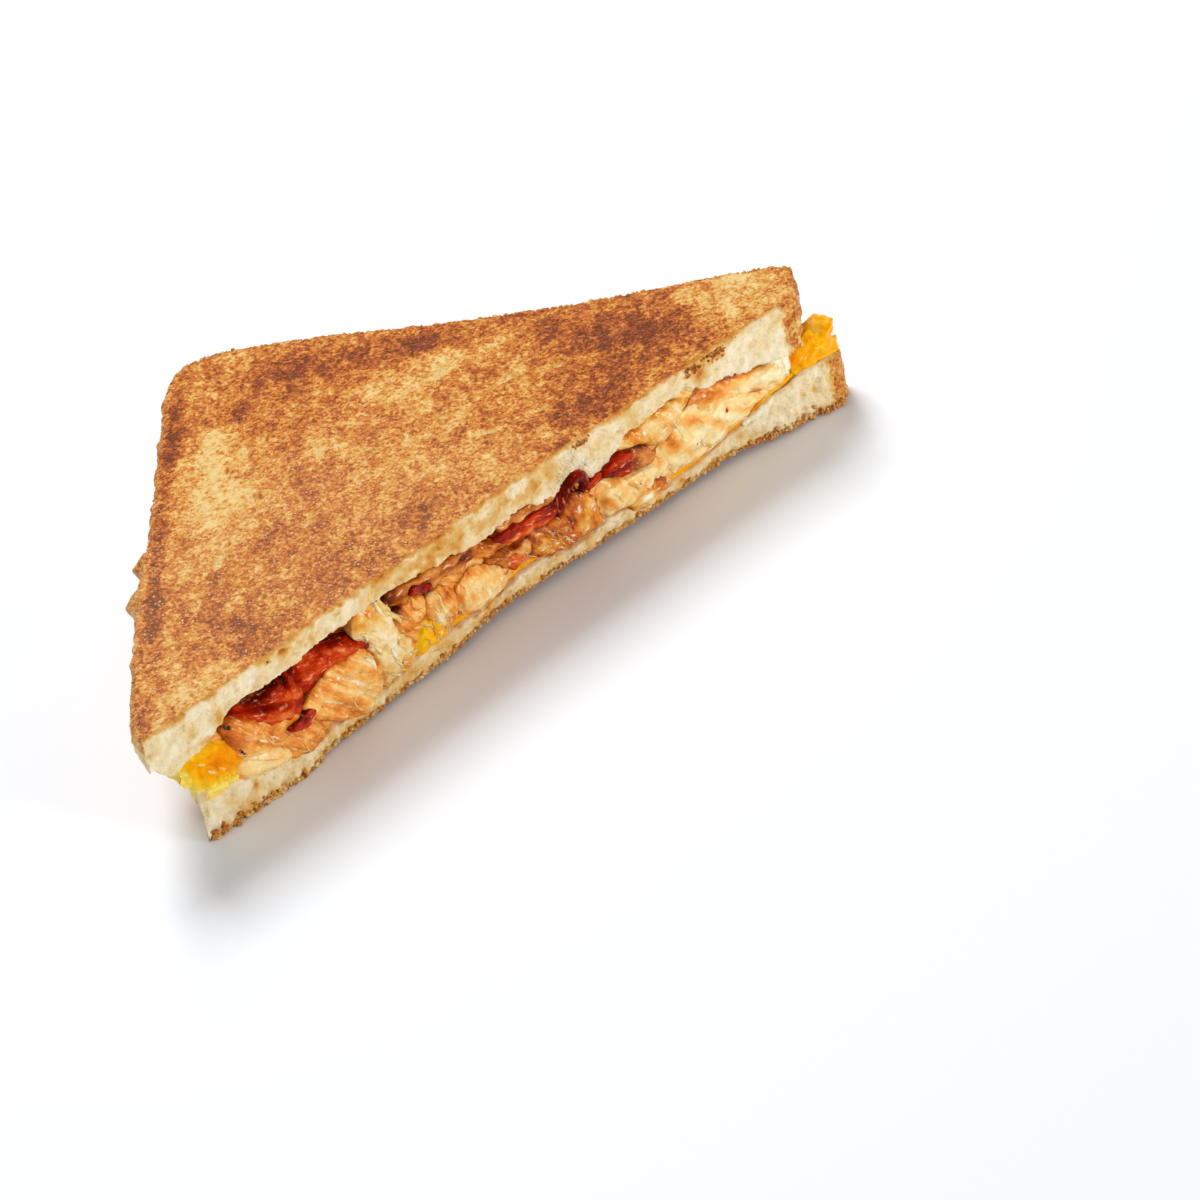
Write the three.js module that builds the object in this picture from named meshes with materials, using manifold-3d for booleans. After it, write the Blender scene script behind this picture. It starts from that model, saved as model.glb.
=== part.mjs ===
// One half of a toasted chicken, bacon and cheese sandwich, cut from corner to corner.
// Millimetres, +Z up. It lies flat: X runs along the cut, the cut face looks to -Y, and the
// square corner of the bread is at +Y. The origin is under the middle of the half.
import * as THREE from "three";
import { mergeVertices } from "three/addons/utils/BufferGeometryUtils.js";
import Module from "manifold-3d";

const wasm = await Module();
wasm.setup();

const { clamp, lerp, smoothstep } = THREE.MathUtils;

// Driving dimensions
const BREAD_SIDE = 110; // side of the square slice
const HEIGHT = 26; // underside to toasted top
const CORNER_ROUND = 14; // length of each side taken up by a round corner
const SLICE_SLIP = 6; // the bottom slice lies this far towards the right tip
const SIDE_BOW = 1.5; // how far the right-hand side of the bread bows inwards
const TOP_DIP = 0.6; // how far the toasted top dips along that side
const TOP_CUT_BOW = 1.2; // how far the middle of the cut lies behind its ends, on top
const LOW_CUT_BOW = 5.4; // and at the underside
const CUT_ARCH = 1.8; // how far the underside lifts behind the middle of the cut
const CRUST_BULGE = 0.8; // how far the crust swells out between its edges
const CRUST_LOW = 8.8; // thickness of the bottom slice at its crust
const CRUST_HIGH = 17.2; // underside of the top slice at its crust
const MIDDLE_LOW = 5.5; // thickness of the bottom slice under the filling
const MIDDLE_HIGH = 20.5; // underside of the top slice over the filling
const CHEESE = 0.9; // thickness of a melted cheese slice
const LUMP_DEPTH = 9; // how far back the pieces at the cut run
const GAP = 0.3; // clearance between neighbouring pieces

// The square corner of the top slice from the origin, and the middle of the half from there
const CORNER = new THREE.Vector2(-2.4, 45.6);
const MIDDLE = new THREE.Vector2(0, -56);

// Where the cut meets each slice: along the right-hand and the left-hand side of the square
const TOP_SLICE = { slip: 0, leftTip: { p: 2.3, q: 109.8 }, bluntEnd: 11.8 };
const BOTTOM_SLICE = { slip: SLICE_SLIP, leftTip: { p: 7, q: 103.8 }, bluntEnd: 7.2 };

// Steps along the cut, a side and a round corner, and the rings between middle and edge.
// All layers share them, so that each lies parallel to the one that it rests on.
const STEPS = { cut: 34, side: 8, round: 4 };
const INNER_SHARE = 0.45;
const OUTER_SHARE = 0.82;

const COLOUR = {
  toast: 0xc68346,
  cheddar: 0xeda01c,
  paleCheese: 0xe2c489,
  chicken: 0xe6b679,
  bacon: 0x8e2f18,
  brownBacon: 0x7a3c1f,
  baconFat: 0xd9a27a,
  amber: 0xd08a3a,
  pepper: 0xc8502c,
};

// A smooth run through [distance along the cut, height] knots, level at each knot.
function profile(knots) {
  return (x) => {
    const next = knots.findIndex(([at]) => at >= x);
    if (next === 0) return knots[0][1];
    if (next < 0) return knots.at(-1)[1];
    const [fromX, fromZ] = knots[next - 1];
    const [toX, toZ] = knots[next];
    return lerp(fromZ, toZ, smoothstep(x, fromX, toX));
  };
}

// Lower edge of the top crumb and upper edge of the bottom crumb where the cut shows them.
// Distances along the cut count from the foot of the square corner.
const topCrumbEdge = profile([
  [-76, 19.4], [-71.5, 15.9], [-66, 17.2], [-57, 21.2], [-46, 20.8], [-38, 21.4], [-26, 21.6],
  [-12, 20.2], [-5, 18.3], [5, 19.3], [11.5, 17.2], [16, 19.6], [22, 15.7], [30, 20.2], [43, 21.2],
  [49, 18.4], [60, 16.4], [68, 14.8], [73, 17.4],
]);
const bottomCrumbEdge = profile([
  [-72, 13], [-65, 8.8], [-54, 6.2], [-43, 3.4], [-29, 3.4], [-17, 5.4], [-5, 4.2],
  [7, 5.8], [17, 3.8], [25, 5.2], [34, 3.2], [44, 3.4], [56, 5.6], [64, 9], [71, 10.4],
  [80, 9.6],
]);

// Plan position of a point p along the right-hand side and q along the left-hand side.
function square(p, q) {
  return new THREE.Vector2((p - q) * Math.SQRT1_2, -(p + q) * Math.SQRT1_2);
}

// How far a plan point is inside the nearest uncut side.
function insideSides(x, y) {
  const p = (x - y) * Math.SQRT1_2;
  const q = -(x + y) * Math.SQRT1_2;
  return Math.min(p, q, BREAD_SIDE + SLICE_SLIP - p);
}

// How strongly the bottom slice pulls in and lifts behind the cut: 0 at both tips.
const midCut = profile([
  [-50, 0], [-38, 0.4], [-18, 0.6], [2, 1], [32, 0.87], [50, 0.87], [68, 0.3], [76, 0],
]);

// Where the knife's face lies at a distance along the cut and a height.
function cutFace(x, z) {
  const lowEdge = -82.5 - 0.058 * x + LOW_CUT_BOW * midCut(x);
  const topEdge = -82.8 - 0.046 * x + TOP_CUT_BOW * midCut(x);
  return lerp(lowEdge, topEdge, clamp(z / HEIGHT, 0, 1));
}

// 1 on the cut, falling to 0 at the given depth behind it.
function nearCut(x, y, depth) {
  return 1 - smoothstep(y - cutFace(x, HEIGHT / 2), 0, depth);
}

// The four bread surfaces, from the bottom up.
function underside(x, y) {
  return CUT_ARCH * midCut(x) * nearCut(x, y, 16);
}

function bottomCrumb(x, y) {
  const inner = lerp(CRUST_LOW, MIDDLE_LOW, smoothstep(insideSides(x, y), 2, 22));
  return lerp(inner, bottomCrumbEdge(x), nearCut(x, y, 20));
}

function topCrumb(x, y) {
  const inner = lerp(CRUST_HIGH, MIDDLE_HIGH, smoothstep(insideSides(x, y), 2, 22));
  return lerp(inner, topCrumbEdge(x), nearCut(x, y, 20));
}

function toastedTop(x, y) {
  const p = (x - y) * Math.SQRT1_2;
  const q = -(x + y) * Math.SQRT1_2;
  const dip = TOP_DIP * Math.exp(-Math.pow((p - 62) / 26, 2) - Math.pow(q / 14, 2));
  const waves = 0.15 + 0.15 * Math.sin(0.13 * x + 0.5) * Math.cos(0.11 * y);
  return HEIGHT - dip - waves;
}

// A closed skin: a point, rings that run anticlockwise as seen from that point, and a last point.
function skin(columns, rings) {
  const geometry = new THREE.SphereGeometry(1, columns, rings.length - 1);
  const position = geometry.attributes.position;
  for (let k = 0; k < position.count; k++) {
    const ring = Math.floor(k / (columns + 1));
    const column = (k % (columns + 1)) % columns;
    position.setXYZ(k, ...rings[ring](column));
  }
  geometry.deleteAttribute("normal");
  geometry.deleteAttribute("uv");
  return mergeVertices(geometry);
}

// Plan outline of a slice: the cut from left to right, the blunt end, the bowed side,
// the square corner and the left side.
function sliceOutline({ slip, leftTip, bluntEnd }) {
  const end = BREAD_SIDE + slip;
  const tip = square(leftTip.p, leftTip.q);
  const bow = [square(end - 1.6, 0.2), square(end * 0.55, 2 * SIDE_BOW), square(slip + CORNER_ROUND, 0)];
  const corner = [bow[2], square(slip, 0), square(slip, CORNER_ROUND)];
  const leftEnd = square(slip, leftTip.q - 5);
  const runs = [
    [new THREE.LineCurve(tip, square(end, bluntEnd)), STEPS.cut],
    [new THREE.LineCurve(square(end, bluntEnd), square(end, 2)), 1],
    [new THREE.QuadraticBezierCurve(square(end, 2), square(end, 0.2), bow[0]), 2],
    [new THREE.QuadraticBezierCurve(...bow), STEPS.side],
    [new THREE.QuadraticBezierCurve(...corner), STEPS.round],
    [new THREE.LineCurve(corner[2], leftEnd), STEPS.side],
    [new THREE.QuadraticBezierCurve(leftEnd, square(slip, leftTip.q), tip), 2],
  ];
  return runs.flatMap(([curve, steps]) => curve.getPoints(steps).slice(0, -1));
}

const onCut = (column) => column <= STEPS.cut;

// A point of the outline at height z, drawn inwards by a length or to a share. Behind the cut
// the length is measured straight back.
function planPoint(outline, column, z, { pull = 0, share = 1 }) {
  const edge = outline[column].clone();
  if (onCut(column)) edge.y = cutFace(edge.x, z);
  const inward = new THREE.Vector2(0.6 * edge.x, MIDDLE.y).sub(edge);
  const reach = onCut(column) ? inward.y : inward.length();
  return edge.addScaledVector(inward, 1 - share + pull / reach);
}

// A ring of a level layer: its place in plan, and its height as a function of that place.
function levelRing(outline, place, height) {
  return (column) => {
    const settings = typeof place === "function" ? place(column) : place;
    let point = planPoint(outline, column, HEIGHT / 2, settings);
    point = planPoint(outline, column, height(point.x, point.y), settings);
    return [point.x, point.y, height(point.x, point.y)];
  };
}

function slice(shape, lower, upper) {
  const outline = sliceOutline(shape);
  const rounded = (pull) => (column) => ({ pull: onCut(column) ? 0.2 * pull : pull });
  const swollen = (column) => ({ pull: onCut(column) ? 0 : -CRUST_BULGE });
  const higher = (step) => (x, y) => lower(x, y) + step;
  const deeper = (step) => (x, y) => upper(x, y) - step;
  return skin(outline.length, [
    () => [MIDDLE.x, MIDDLE.y, upper(MIDDLE.x, MIDDLE.y)],
    levelRing(outline, { share: INNER_SHARE }, upper),
    levelRing(outline, { share: OUTER_SHARE }, upper),
    levelRing(outline, rounded(1.2), upper),
    levelRing(outline, rounded(-0.2), deeper(0.5)),
    levelRing(outline, swollen, deeper(2)),
    levelRing(outline, swollen, higher(2)),
    levelRing(outline, rounded(-0.1), higher(0.4)),
    levelRing(outline, rounded(1.2), lower),
    levelRing(outline, { share: OUTER_SHARE }, lower),
    levelRing(outline, { share: INNER_SHARE }, lower),
    () => [MIDDLE.x, MIDDLE.y, lower(MIDDLE.x, MIDDLE.y)],
  ]);
}

// A layer of the filling that runs through the half. inset says how far its edge lies inside
// the slice, and grow makes the larger copy that cuts its neighbours clear.
function layer({ shape, lower, upper, inset, cutShare = OUTER_SHARE, grow = 0 }) {
  const outline = sliceOutline(shape);
  const inner = (column) => ({ share: onCut(column) ? cutShare : OUTER_SHARE });
  const edge = (extra) => (column) => ({
    pull: inset(outline[column].x, onCut(column)) + extra - grow,
  });
  const low = (x, y) => lower(x, y) - grow;
  const high = (x, y) => upper(x, y) + grow;
  const between = (share) => (x, y) => lerp(low(x, y), high(x, y), share);
  return skin(outline.length, [
    () => [MIDDLE.x, MIDDLE.y, high(MIDDLE.x, MIDDLE.y)],
    levelRing(outline, { share: INNER_SHARE }, high),
    levelRing(outline, inner, high),
    levelRing(outline, edge(1.5), high),
    levelRing(outline, edge(0), between(0.7)),
    levelRing(outline, edge(0), low),
    levelRing(outline, inner, low),
    levelRing(outline, { share: INNER_SHARE }, low),
    () => [MIDDLE.x, MIDDLE.y, low(MIDDLE.x, MIDDLE.y)],
  ]);
}

// A lump of filling that shows at the cut: a closed outline of [along the cut, height] points,
// domed in front and run back into the half.
function lump({ outline, recess = 0, bulge = 1.5, depth = LUMP_DEPTH, lean = 0 }, grow = 0) {
  const columns = 13;
  const corners = outline.map(([x, z]) => new THREE.Vector3(x, 0, z));
  const rim = new THREE.CatmullRomCurve3(corners, true).getPoints(columns).slice(0, -1);
  const heart = rim.reduce((sum, point) => sum.add(point), new THREE.Vector3()).divideScalar(columns);
  const ring = (share, behind) => (column) => {
    const spoke = rim[column].clone().sub(heart);
    const { x, z } = heart.clone().addScaledVector(spoke, share * (1 + grow / spoke.length()));
    return [x + lean * behind, cutFace(x, z) + recess + behind, z];
  };
  return skin(columns, [
    () => [heart.x, cutFace(heart.x, heart.z) + recess - bulge - grow, heart.z],
    ring(0.55, -0.8 * bulge - grow),
    ring(0.88, -0.35 * bulge - grow),
    ring(1, 0.8 - grow),
    ring(1, depth - 2 + grow),
    ring(0.7, depth + grow),
    () => [heart.x + lean * depth, cutFace(heart.x, heart.z) + recess + depth + grow, heart.z],
  ]);
}

// Booleans
function toSolid(geometry) {
  const vertProperties = geometry.attributes.position.array;
  const triVerts = new Uint32Array(geometry.index.array);
  return new wasm.Manifold(new wasm.Mesh({ numProp: 3, vertProperties, triVerts }));
}

function toGeometry(solid) {
  const { vertProperties, triVerts } = solid.getMesh();
  const geometry = new THREE.BufferGeometry();
  geometry.setAttribute("position", new THREE.BufferAttribute(vertProperties, 3));
  geometry.setIndex(new THREE.BufferAttribute(triVerts, 1));
  return geometry;
}

// The largest part of a shape that is left clear of its neighbours.
function clearOf(geometry, neighbours) {
  let solid = toSolid(geometry);
  for (const neighbour of neighbours) solid = solid.subtract(toSolid(neighbour));
  const parts = solid.decompose();
  parts.sort((a, b) => b.volume() - a.volume());
  return toGeometry(parts[0]);
}

const half = new THREE.Group();
half.position.set(CORNER.x, CORNER.y, 0);

function addPiece(name, geometry, color, roughness) {
  geometry.computeVertexNormals();
  const mesh = new THREE.Mesh(
    geometry,
    new THREE.MeshStandardMaterial({ color, roughness, metalness: 0 }),
  );
  mesh.name = name;
  half.add(mesh);
}

// Bread
const breadBottom = slice(BOTTOM_SLICE, underside, bottomCrumb);
const breadTop = slice(TOP_SLICE, topCrumb, toastedTop);
addPiece("bread_bottom", breadBottom, COLOUR.toast, 0.55);
addPiece("bread_top", breadTop, COLOUR.toast, 0.5);
const taken = [
  breadBottom.clone().translate(0, 0, GAP),
  breadTop.clone().translate(0, 0, -GAP),
];

// Cheddar slice on the bottom bread, swollen where it runs out at the left tip.
function cheddarTop(x, y) {
  const leftRun = 6 * (1 - smoothstep(x, -62, -56)) * nearCut(x, y, LUMP_DEPTH);
  return bottomCrumb(x, y) + CHEESE + leftRun;
}
const cheddar = {
  shape: BOTTOM_SLICE,
  lower: (x, y) => bottomCrumb(x, y) + 1.1 * GAP,
  upper: cheddarTop,
  inset: (x, atCut) => (atCut ? 0.8 : x > 70 ? 1 : 3.2 + Math.sin(0.35 * x)),
};

// Pale cheese slice under the top bread, with a sagging melt right of the middle of the cut.
function paleBottom(x, y) {
  const sag = 4 * smoothstep(x, 26, 33) * (1 - smoothstep(x, 42, 50));
  return topCrumb(x, y) - CHEESE - sag * nearCut(x, y, LUMP_DEPTH);
}
const paleCheese = {
  shape: TOP_SLICE,
  lower: paleBottom,
  upper: (x, y) => topCrumb(x, y) - 1.1 * GAP,
  inset: (x, atCut) => (atCut ? 1.2 : 4 + Math.sin(0.3 * x + 1)),
};

for (const [name, settings, colour] of [
  ["cheddar_slice", cheddar, COLOUR.cheddar],
  ["pale_cheese_slice", paleCheese, COLOUR.paleCheese],
]) {
  addPiece(name, clearOf(layer(settings), taken), colour, 0.3);
  taken.push(layer({ ...settings, grow: GAP }));
}

// Pieces of the filling that show at the cut, nearest to the eye first.
const LUMPS = [
  {
    name: "bacon_bit", colour: COLOUR.bacon, recess: -0.6, bulge: 1, depth: 4,
    outline: [[-51, 10.6], [-48, 8.6], [-43.5, 9.2], [-43, 11.6], [-47, 12.2]],
  },
  {
    name: "bacon_left", colour: COLOUR.bacon, recess: 0.8, depth: 30, lean: 0.75,
    outline: [
      [-59.5, 19.5], [-57, 16.8], [-50, 14.8], [-44, 15.5], [-37, 15.4], [-30, 16.4],
      [-33, 20], [-45, 20.2], [-54, 20.8],
    ],
  },
  {
    name: "bacon_brown", colour: COLOUR.brownBacon, recess: 0.6, depth: 32, lean: 0.2,
    outline: [[-28, 20], [-24, 18], [-15, 16.4], [-8, 15.6], [-6.5, 18], [-12, 19.4], [-20, 20.6]],
  },
  {
    name: "bacon_middle", colour: COLOUR.bacon, recess: 0.2, depth: 34,
    outline: [[-2, 16.2], [1, 14.4], [7, 13.2], [13, 12.8], [14, 15.2], [8, 16.9], [2, 18]],
  },
  {
    name: "bacon_curl", colour: COLOUR.bacon, recess: 0, depth: 30,
    outline: [
      [14.4, 14], [15.4, 11.4], [17.4, 11.6], [18.2, 13], [21.5, 14.2], [19.5, 17.2], [16, 18.2],
    ],
  },
  {
    name: "bacon_right", colour: COLOUR.bacon, recess: -0.4, depth: 30, lean: -0.3,
    outline: [[22, 13.4], [26, 11], [31, 10.4], [36, 10], [36.6, 12.4], [31, 14.4], [25.5, 15.2]],
  },
  {
    name: "pepper_bit", colour: COLOUR.pepper, recess: 0, bulge: 0.8, depth: 4,
    outline: [[3, 7.2], [4.6, 5.9], [7.2, 6.4], [7.4, 8], [4.8, 8.6]],
  },
  {
    name: "bacon_fat", colour: COLOUR.baconFat, recess: 0.4,
    outline: [[-3, 14], [-1, 10.5], [4, 8.6], [7.8, 8.6], [7, 11.6], [2, 14]],
  },
  {
    name: "amber_melt", colour: COLOUR.amber, recess: 0.6,
    outline: [[17.6, 9.6], [19, 5.4], [21.5, 4.4], [24, 6], [22.8, 10], [20.6, 12.4], [18.4, 12]],
  },
  {
    name: "orange_melt", colour: COLOUR.amber, recess: 0.4,
    outline: [[8, 12], [9, 7.8], [13, 5.4], [17, 5.4], [17.6, 8.4], [15, 11], [12, 12.2]],
  },
  {
    name: "white_melt", colour: COLOUR.paleCheese, recess: 0.2,
    outline: [
      [-34.5, 18.4], [-30, 14.6], [-25.5, 10], [-22, 5.8], [-16, 6.6], [-15, 9.4],
      [-20, 12.4], [-25, 17.4], [-30, 19.6],
    ],
  },
  {
    name: "chicken_1", colour: COLOUR.chicken, recess: 0,
    outline: [
      [-62, 14.6], [-58, 8.4], [-50, 4.8], [-43, 4.8], [-41.8, 8.4], [-46, 12.8],
      [-53, 14.8], [-58.5, 17.2],
    ],
  },
  {
    name: "chicken_2", colour: COLOUR.chicken, recess: -0.2, bulge: 2,
    outline: [
      [-45.5, 12.2], [-41.6, 6], [-36, 4.4], [-28, 4.4], [-24.4, 6.6], [-27, 11], [-31, 14.6],
      [-38, 15],
    ],
  },
  {
    name: "chicken_3", colour: COLOUR.chicken, recess: 0.6,
    outline: [[-22.4, 15], [-19.6, 12], [-14, 8], [-11.6, 9], [-12.4, 13], [-16.4, 16.2]],
  },
  {
    name: "chicken_4", colour: COLOUR.chicken, recess: -0.2, bulge: 2,
    outline: [
      [-12, 11], [-10, 6.4], [-4, 5.4], [1.6, 5.6], [3, 7.8], [-1.6, 11.6], [-7, 14.4], [-11, 14],
    ],
  },
  {
    name: "chicken_5", colour: COLOUR.chicken, recess: -0.2, bulge: 2,
    outline: [
      [22.6, 9.8], [26, 6.2], [31, 4.6], [40, 4.4], [43.8, 5.8], [42, 9.4], [36, 10], [29, 10.8],
    ],
  },
  {
    name: "chicken_6", colour: COLOUR.chicken, recess: -0.4, bulge: 2,
    outline: [
      [41.8, 9.8], [44.8, 5.2], [50, 5.6], [56, 8.6], [57.4, 12.6], [56, 15.8], [51, 17], [47.6, 15],
    ],
  },
  {
    name: "chicken_7", colour: COLOUR.chicken, recess: 0,
    outline: [[57, 13], [58.4, 10.4], [63, 11.2], [67.6, 12.8], [67, 15.2], [61, 16.2], [57.6, 16.2]],
  },
];
for (const settings of LUMPS) {
  addPiece(settings.name, clearOf(lump(settings), taken), settings.colour, 0.4);
  taken.push(lump(settings, GAP));
}

// The chicken filling itself, which runs through between the cheese slices.
const filling = layer({
  shape: TOP_SLICE,
  lower: (x, y) => bottomCrumb(x, y) + CHEESE + 3 * GAP,
  upper: (x, y) => topCrumb(x, y) - CHEESE - 3 * GAP,
  inset: (x, atCut) => (atCut ? LUMP_DEPTH + 3 * GAP : 5.5 + Math.sin(0.4 * x)),
  cutShare: 0.54,
});
addPiece("chicken_filling", clearOf(filling, taken), COLOUR.chicken, 0.45);

const sandwichHalf = new THREE.Group();
sandwichHalf.add(half);

export default sandwichHalf;
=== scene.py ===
# One half of a toasted chicken, bacon and cheese sandwich, cut from corner to corner
import math
import random

import bmesh
import bpy
import numpy as np
from mathutils import Matrix, Vector, noise
from mathutils.bvhtree import BVHTree


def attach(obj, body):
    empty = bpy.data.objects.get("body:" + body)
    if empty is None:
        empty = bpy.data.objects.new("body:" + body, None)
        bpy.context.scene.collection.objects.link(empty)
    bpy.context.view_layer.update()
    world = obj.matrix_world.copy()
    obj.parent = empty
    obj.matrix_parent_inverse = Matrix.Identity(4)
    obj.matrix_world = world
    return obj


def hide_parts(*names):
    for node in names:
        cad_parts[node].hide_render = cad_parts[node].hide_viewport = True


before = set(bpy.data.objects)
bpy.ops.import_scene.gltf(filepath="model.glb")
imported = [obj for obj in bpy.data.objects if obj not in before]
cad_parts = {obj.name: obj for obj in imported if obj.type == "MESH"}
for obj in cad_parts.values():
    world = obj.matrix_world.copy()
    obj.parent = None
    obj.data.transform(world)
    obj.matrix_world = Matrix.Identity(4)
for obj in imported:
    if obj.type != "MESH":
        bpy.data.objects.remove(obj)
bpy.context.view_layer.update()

# Sizes in millimetres, the same as in the solids
MM = 0.001
ROOT_HALF = math.sqrt(0.5)
CORNER_X = -2.4
CORNER_Y = 45.6
BREAD_SIDE = 110
HEIGHT = 26
SLICE_SLIP = 6
CRUST = 2
CRUST_LOW = 8.8
CRUST_HIGH = 17.2
MIDDLE_LOW = 5.5
MIDDLE_HIGH = 20.5

# How deep behind the cut its own edges reach, and how near the floor a vertex may come
CUT_REACH = 20
FLOOR_GAP = 0.02


# Sandwich shapes, measured from the foot of the square corner
def smooth(share):
    """0 at 0 and 1 at 1, level at both ends."""
    share = np.clip(share, 0, 1)
    return share * share * (3 - 2 * share)


def run(knots):
    """A smooth run through (distance, height) knots, level at each knot."""
    at = np.array([knot[0] for knot in knots], float)
    height = np.array([knot[1] for knot in knots], float)

    def value(x):
        x = np.clip(x, at[0], at[-1])
        left = np.clip(np.searchsorted(at, x) - 1, 0, len(at) - 2)
        share = smooth((x - at[left]) / (at[left + 1] - at[left]))
        return height[left] + (height[left + 1] - height[left]) * share

    return value


top_crumb_edge = run([
    (-76, 19.4), (-71.5, 15.9), (-66, 17.2), (-57, 21.2), (-46, 20.8), (-38, 21.4), (-26, 21.6),
    (-12, 20.2), (-5, 18.3), (5, 19.3), (11.5, 17.2), (16, 19.6), (22, 15.7), (30, 20.2),
    (43, 21.2), (49, 18.4), (60, 16.4), (68, 14.8), (73, 17.4),
])
bottom_crumb_edge = run([
    (-72, 13), (-65, 8.8), (-54, 6.2), (-43, 3.4), (-29, 3.4), (-17, 5.4), (-5, 4.2), (7, 5.8),
    (17, 3.8), (25, 5.2), (34, 3.2), (44, 3.4), (56, 5.6), (64, 9), (71, 10.4), (80, 9.6),
])
mid_cut = run([
    (-50, 0), (-38, 0.4), (-18, 0.6), (2, 1), (32, 0.87), (50, 0.87), (68, 0.3), (76, 0),
])


def square(p, q):
    """Plan point p along the right-hand side and q along the left-hand side of the bread."""
    return (p - q) * ROOT_HALF, -(p + q) * ROOT_HALF


def from_sides(x, y):
    """The distances p and q of a plan point, as square takes them."""
    return (x - y) * ROOT_HALF, -(x + y) * ROOT_HALF


def cut_face(x, z):
    """Where the knife's face lies at a distance along the cut and a height."""
    low = -82.5 - 0.058 * x + 5.4 * mid_cut(x)
    high = -82.8 - 0.046 * x + 1.2 * mid_cut(x)
    return low + (high - low) * np.clip(z / HEIGHT, 0, 1)


def near_cut(x, y, depth):
    """1 at the cut, 0 from a depth behind it on."""
    return 1 - smooth((y - cut_face(x, HEIGHT / 2)) / depth)


def inside_sides(x, y):
    p, q = from_sides(x, y)
    return np.minimum(np.minimum(p, q), BREAD_SIDE + SLICE_SLIP - p)


def underside(x, y):
    """The griddled underside, which lifts a little off the floor at the cut."""
    return 1.8 * mid_cut(x) * near_cut(x, y, 16)


def crumb_height(x, y, at_crust, at_middle, at_cut):
    """The height of a slice's inner face, from its crust and its middle to its edge at the cut."""
    inward = smooth((inside_sides(x, y) - CRUST) / CUT_REACH)
    inner = at_crust + (at_middle - at_crust) * inward
    return inner + (at_cut(x) - inner) * near_cut(x, y, CUT_REACH)


def bottom_crumb(x, y):
    return crumb_height(x, y, CRUST_LOW, MIDDLE_LOW, bottom_crumb_edge)


def top_crumb(x, y):
    return crumb_height(x, y, CRUST_HIGH, MIDDLE_HIGH, top_crumb_edge)


def toasted_top(x, y):
    """The griddled face, with one wide dip at the left and faint waves."""
    p, q = from_sides(x, y)
    dip = 0.5 * np.exp(-(((p - 62) / 26) ** 2) - (q / 14) ** 2)
    return HEIGHT - dip - 0.15 - 0.15 * np.sin(0.13 * x + 0.5) * np.cos(0.11 * y)


# Shader recipes
def linear(red, green, blue):
    """A colour given as the eye sees it, 0 to 255, in the renderer's linear values."""
    parts = []
    for part in (red, green, blue):
        part = part / 255
        parts.append(part / 12.92 if part <= 0.04045 else ((part + 0.055) / 1.055) ** 2.4)
    return (*parts, 1)


def math_node(operation, swapped=False):
    """An operator between values, or a value and a number, as one Math node."""

    def combine(self, other):
        first, second = (other, self) if swapped else (self, other)
        inputs = {0: first, 1: second}
        return self.finish.node("ShaderNodeMath", {"operation": operation}, inputs)

    return combine


class Value:
    """A socket of a finish. An expression on values adds its Math nodes."""

    def __init__(self, finish, socket):
        self.finish = finish
        self.socket = socket

    __add__ = math_node("ADD")
    __radd__ = math_node("ADD", swapped=True)
    __sub__ = math_node("SUBTRACT")
    __rsub__ = math_node("SUBTRACT", swapped=True)
    __mul__ = math_node("MULTIPLY")
    __rmul__ = math_node("MULTIPLY", swapped=True)

    def swing(self, width):
        """The same value laid about 0, with a width where it ran from 0 to 1."""
        return (self - 0.5) * width

    def held(self):
        """The same value, kept between 0 and 1."""
        settings = {"operation": "ADD", "use_clamp": True}
        return self.finish.node("ShaderNodeMath", settings, {0: self, 1: 0.0})


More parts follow.
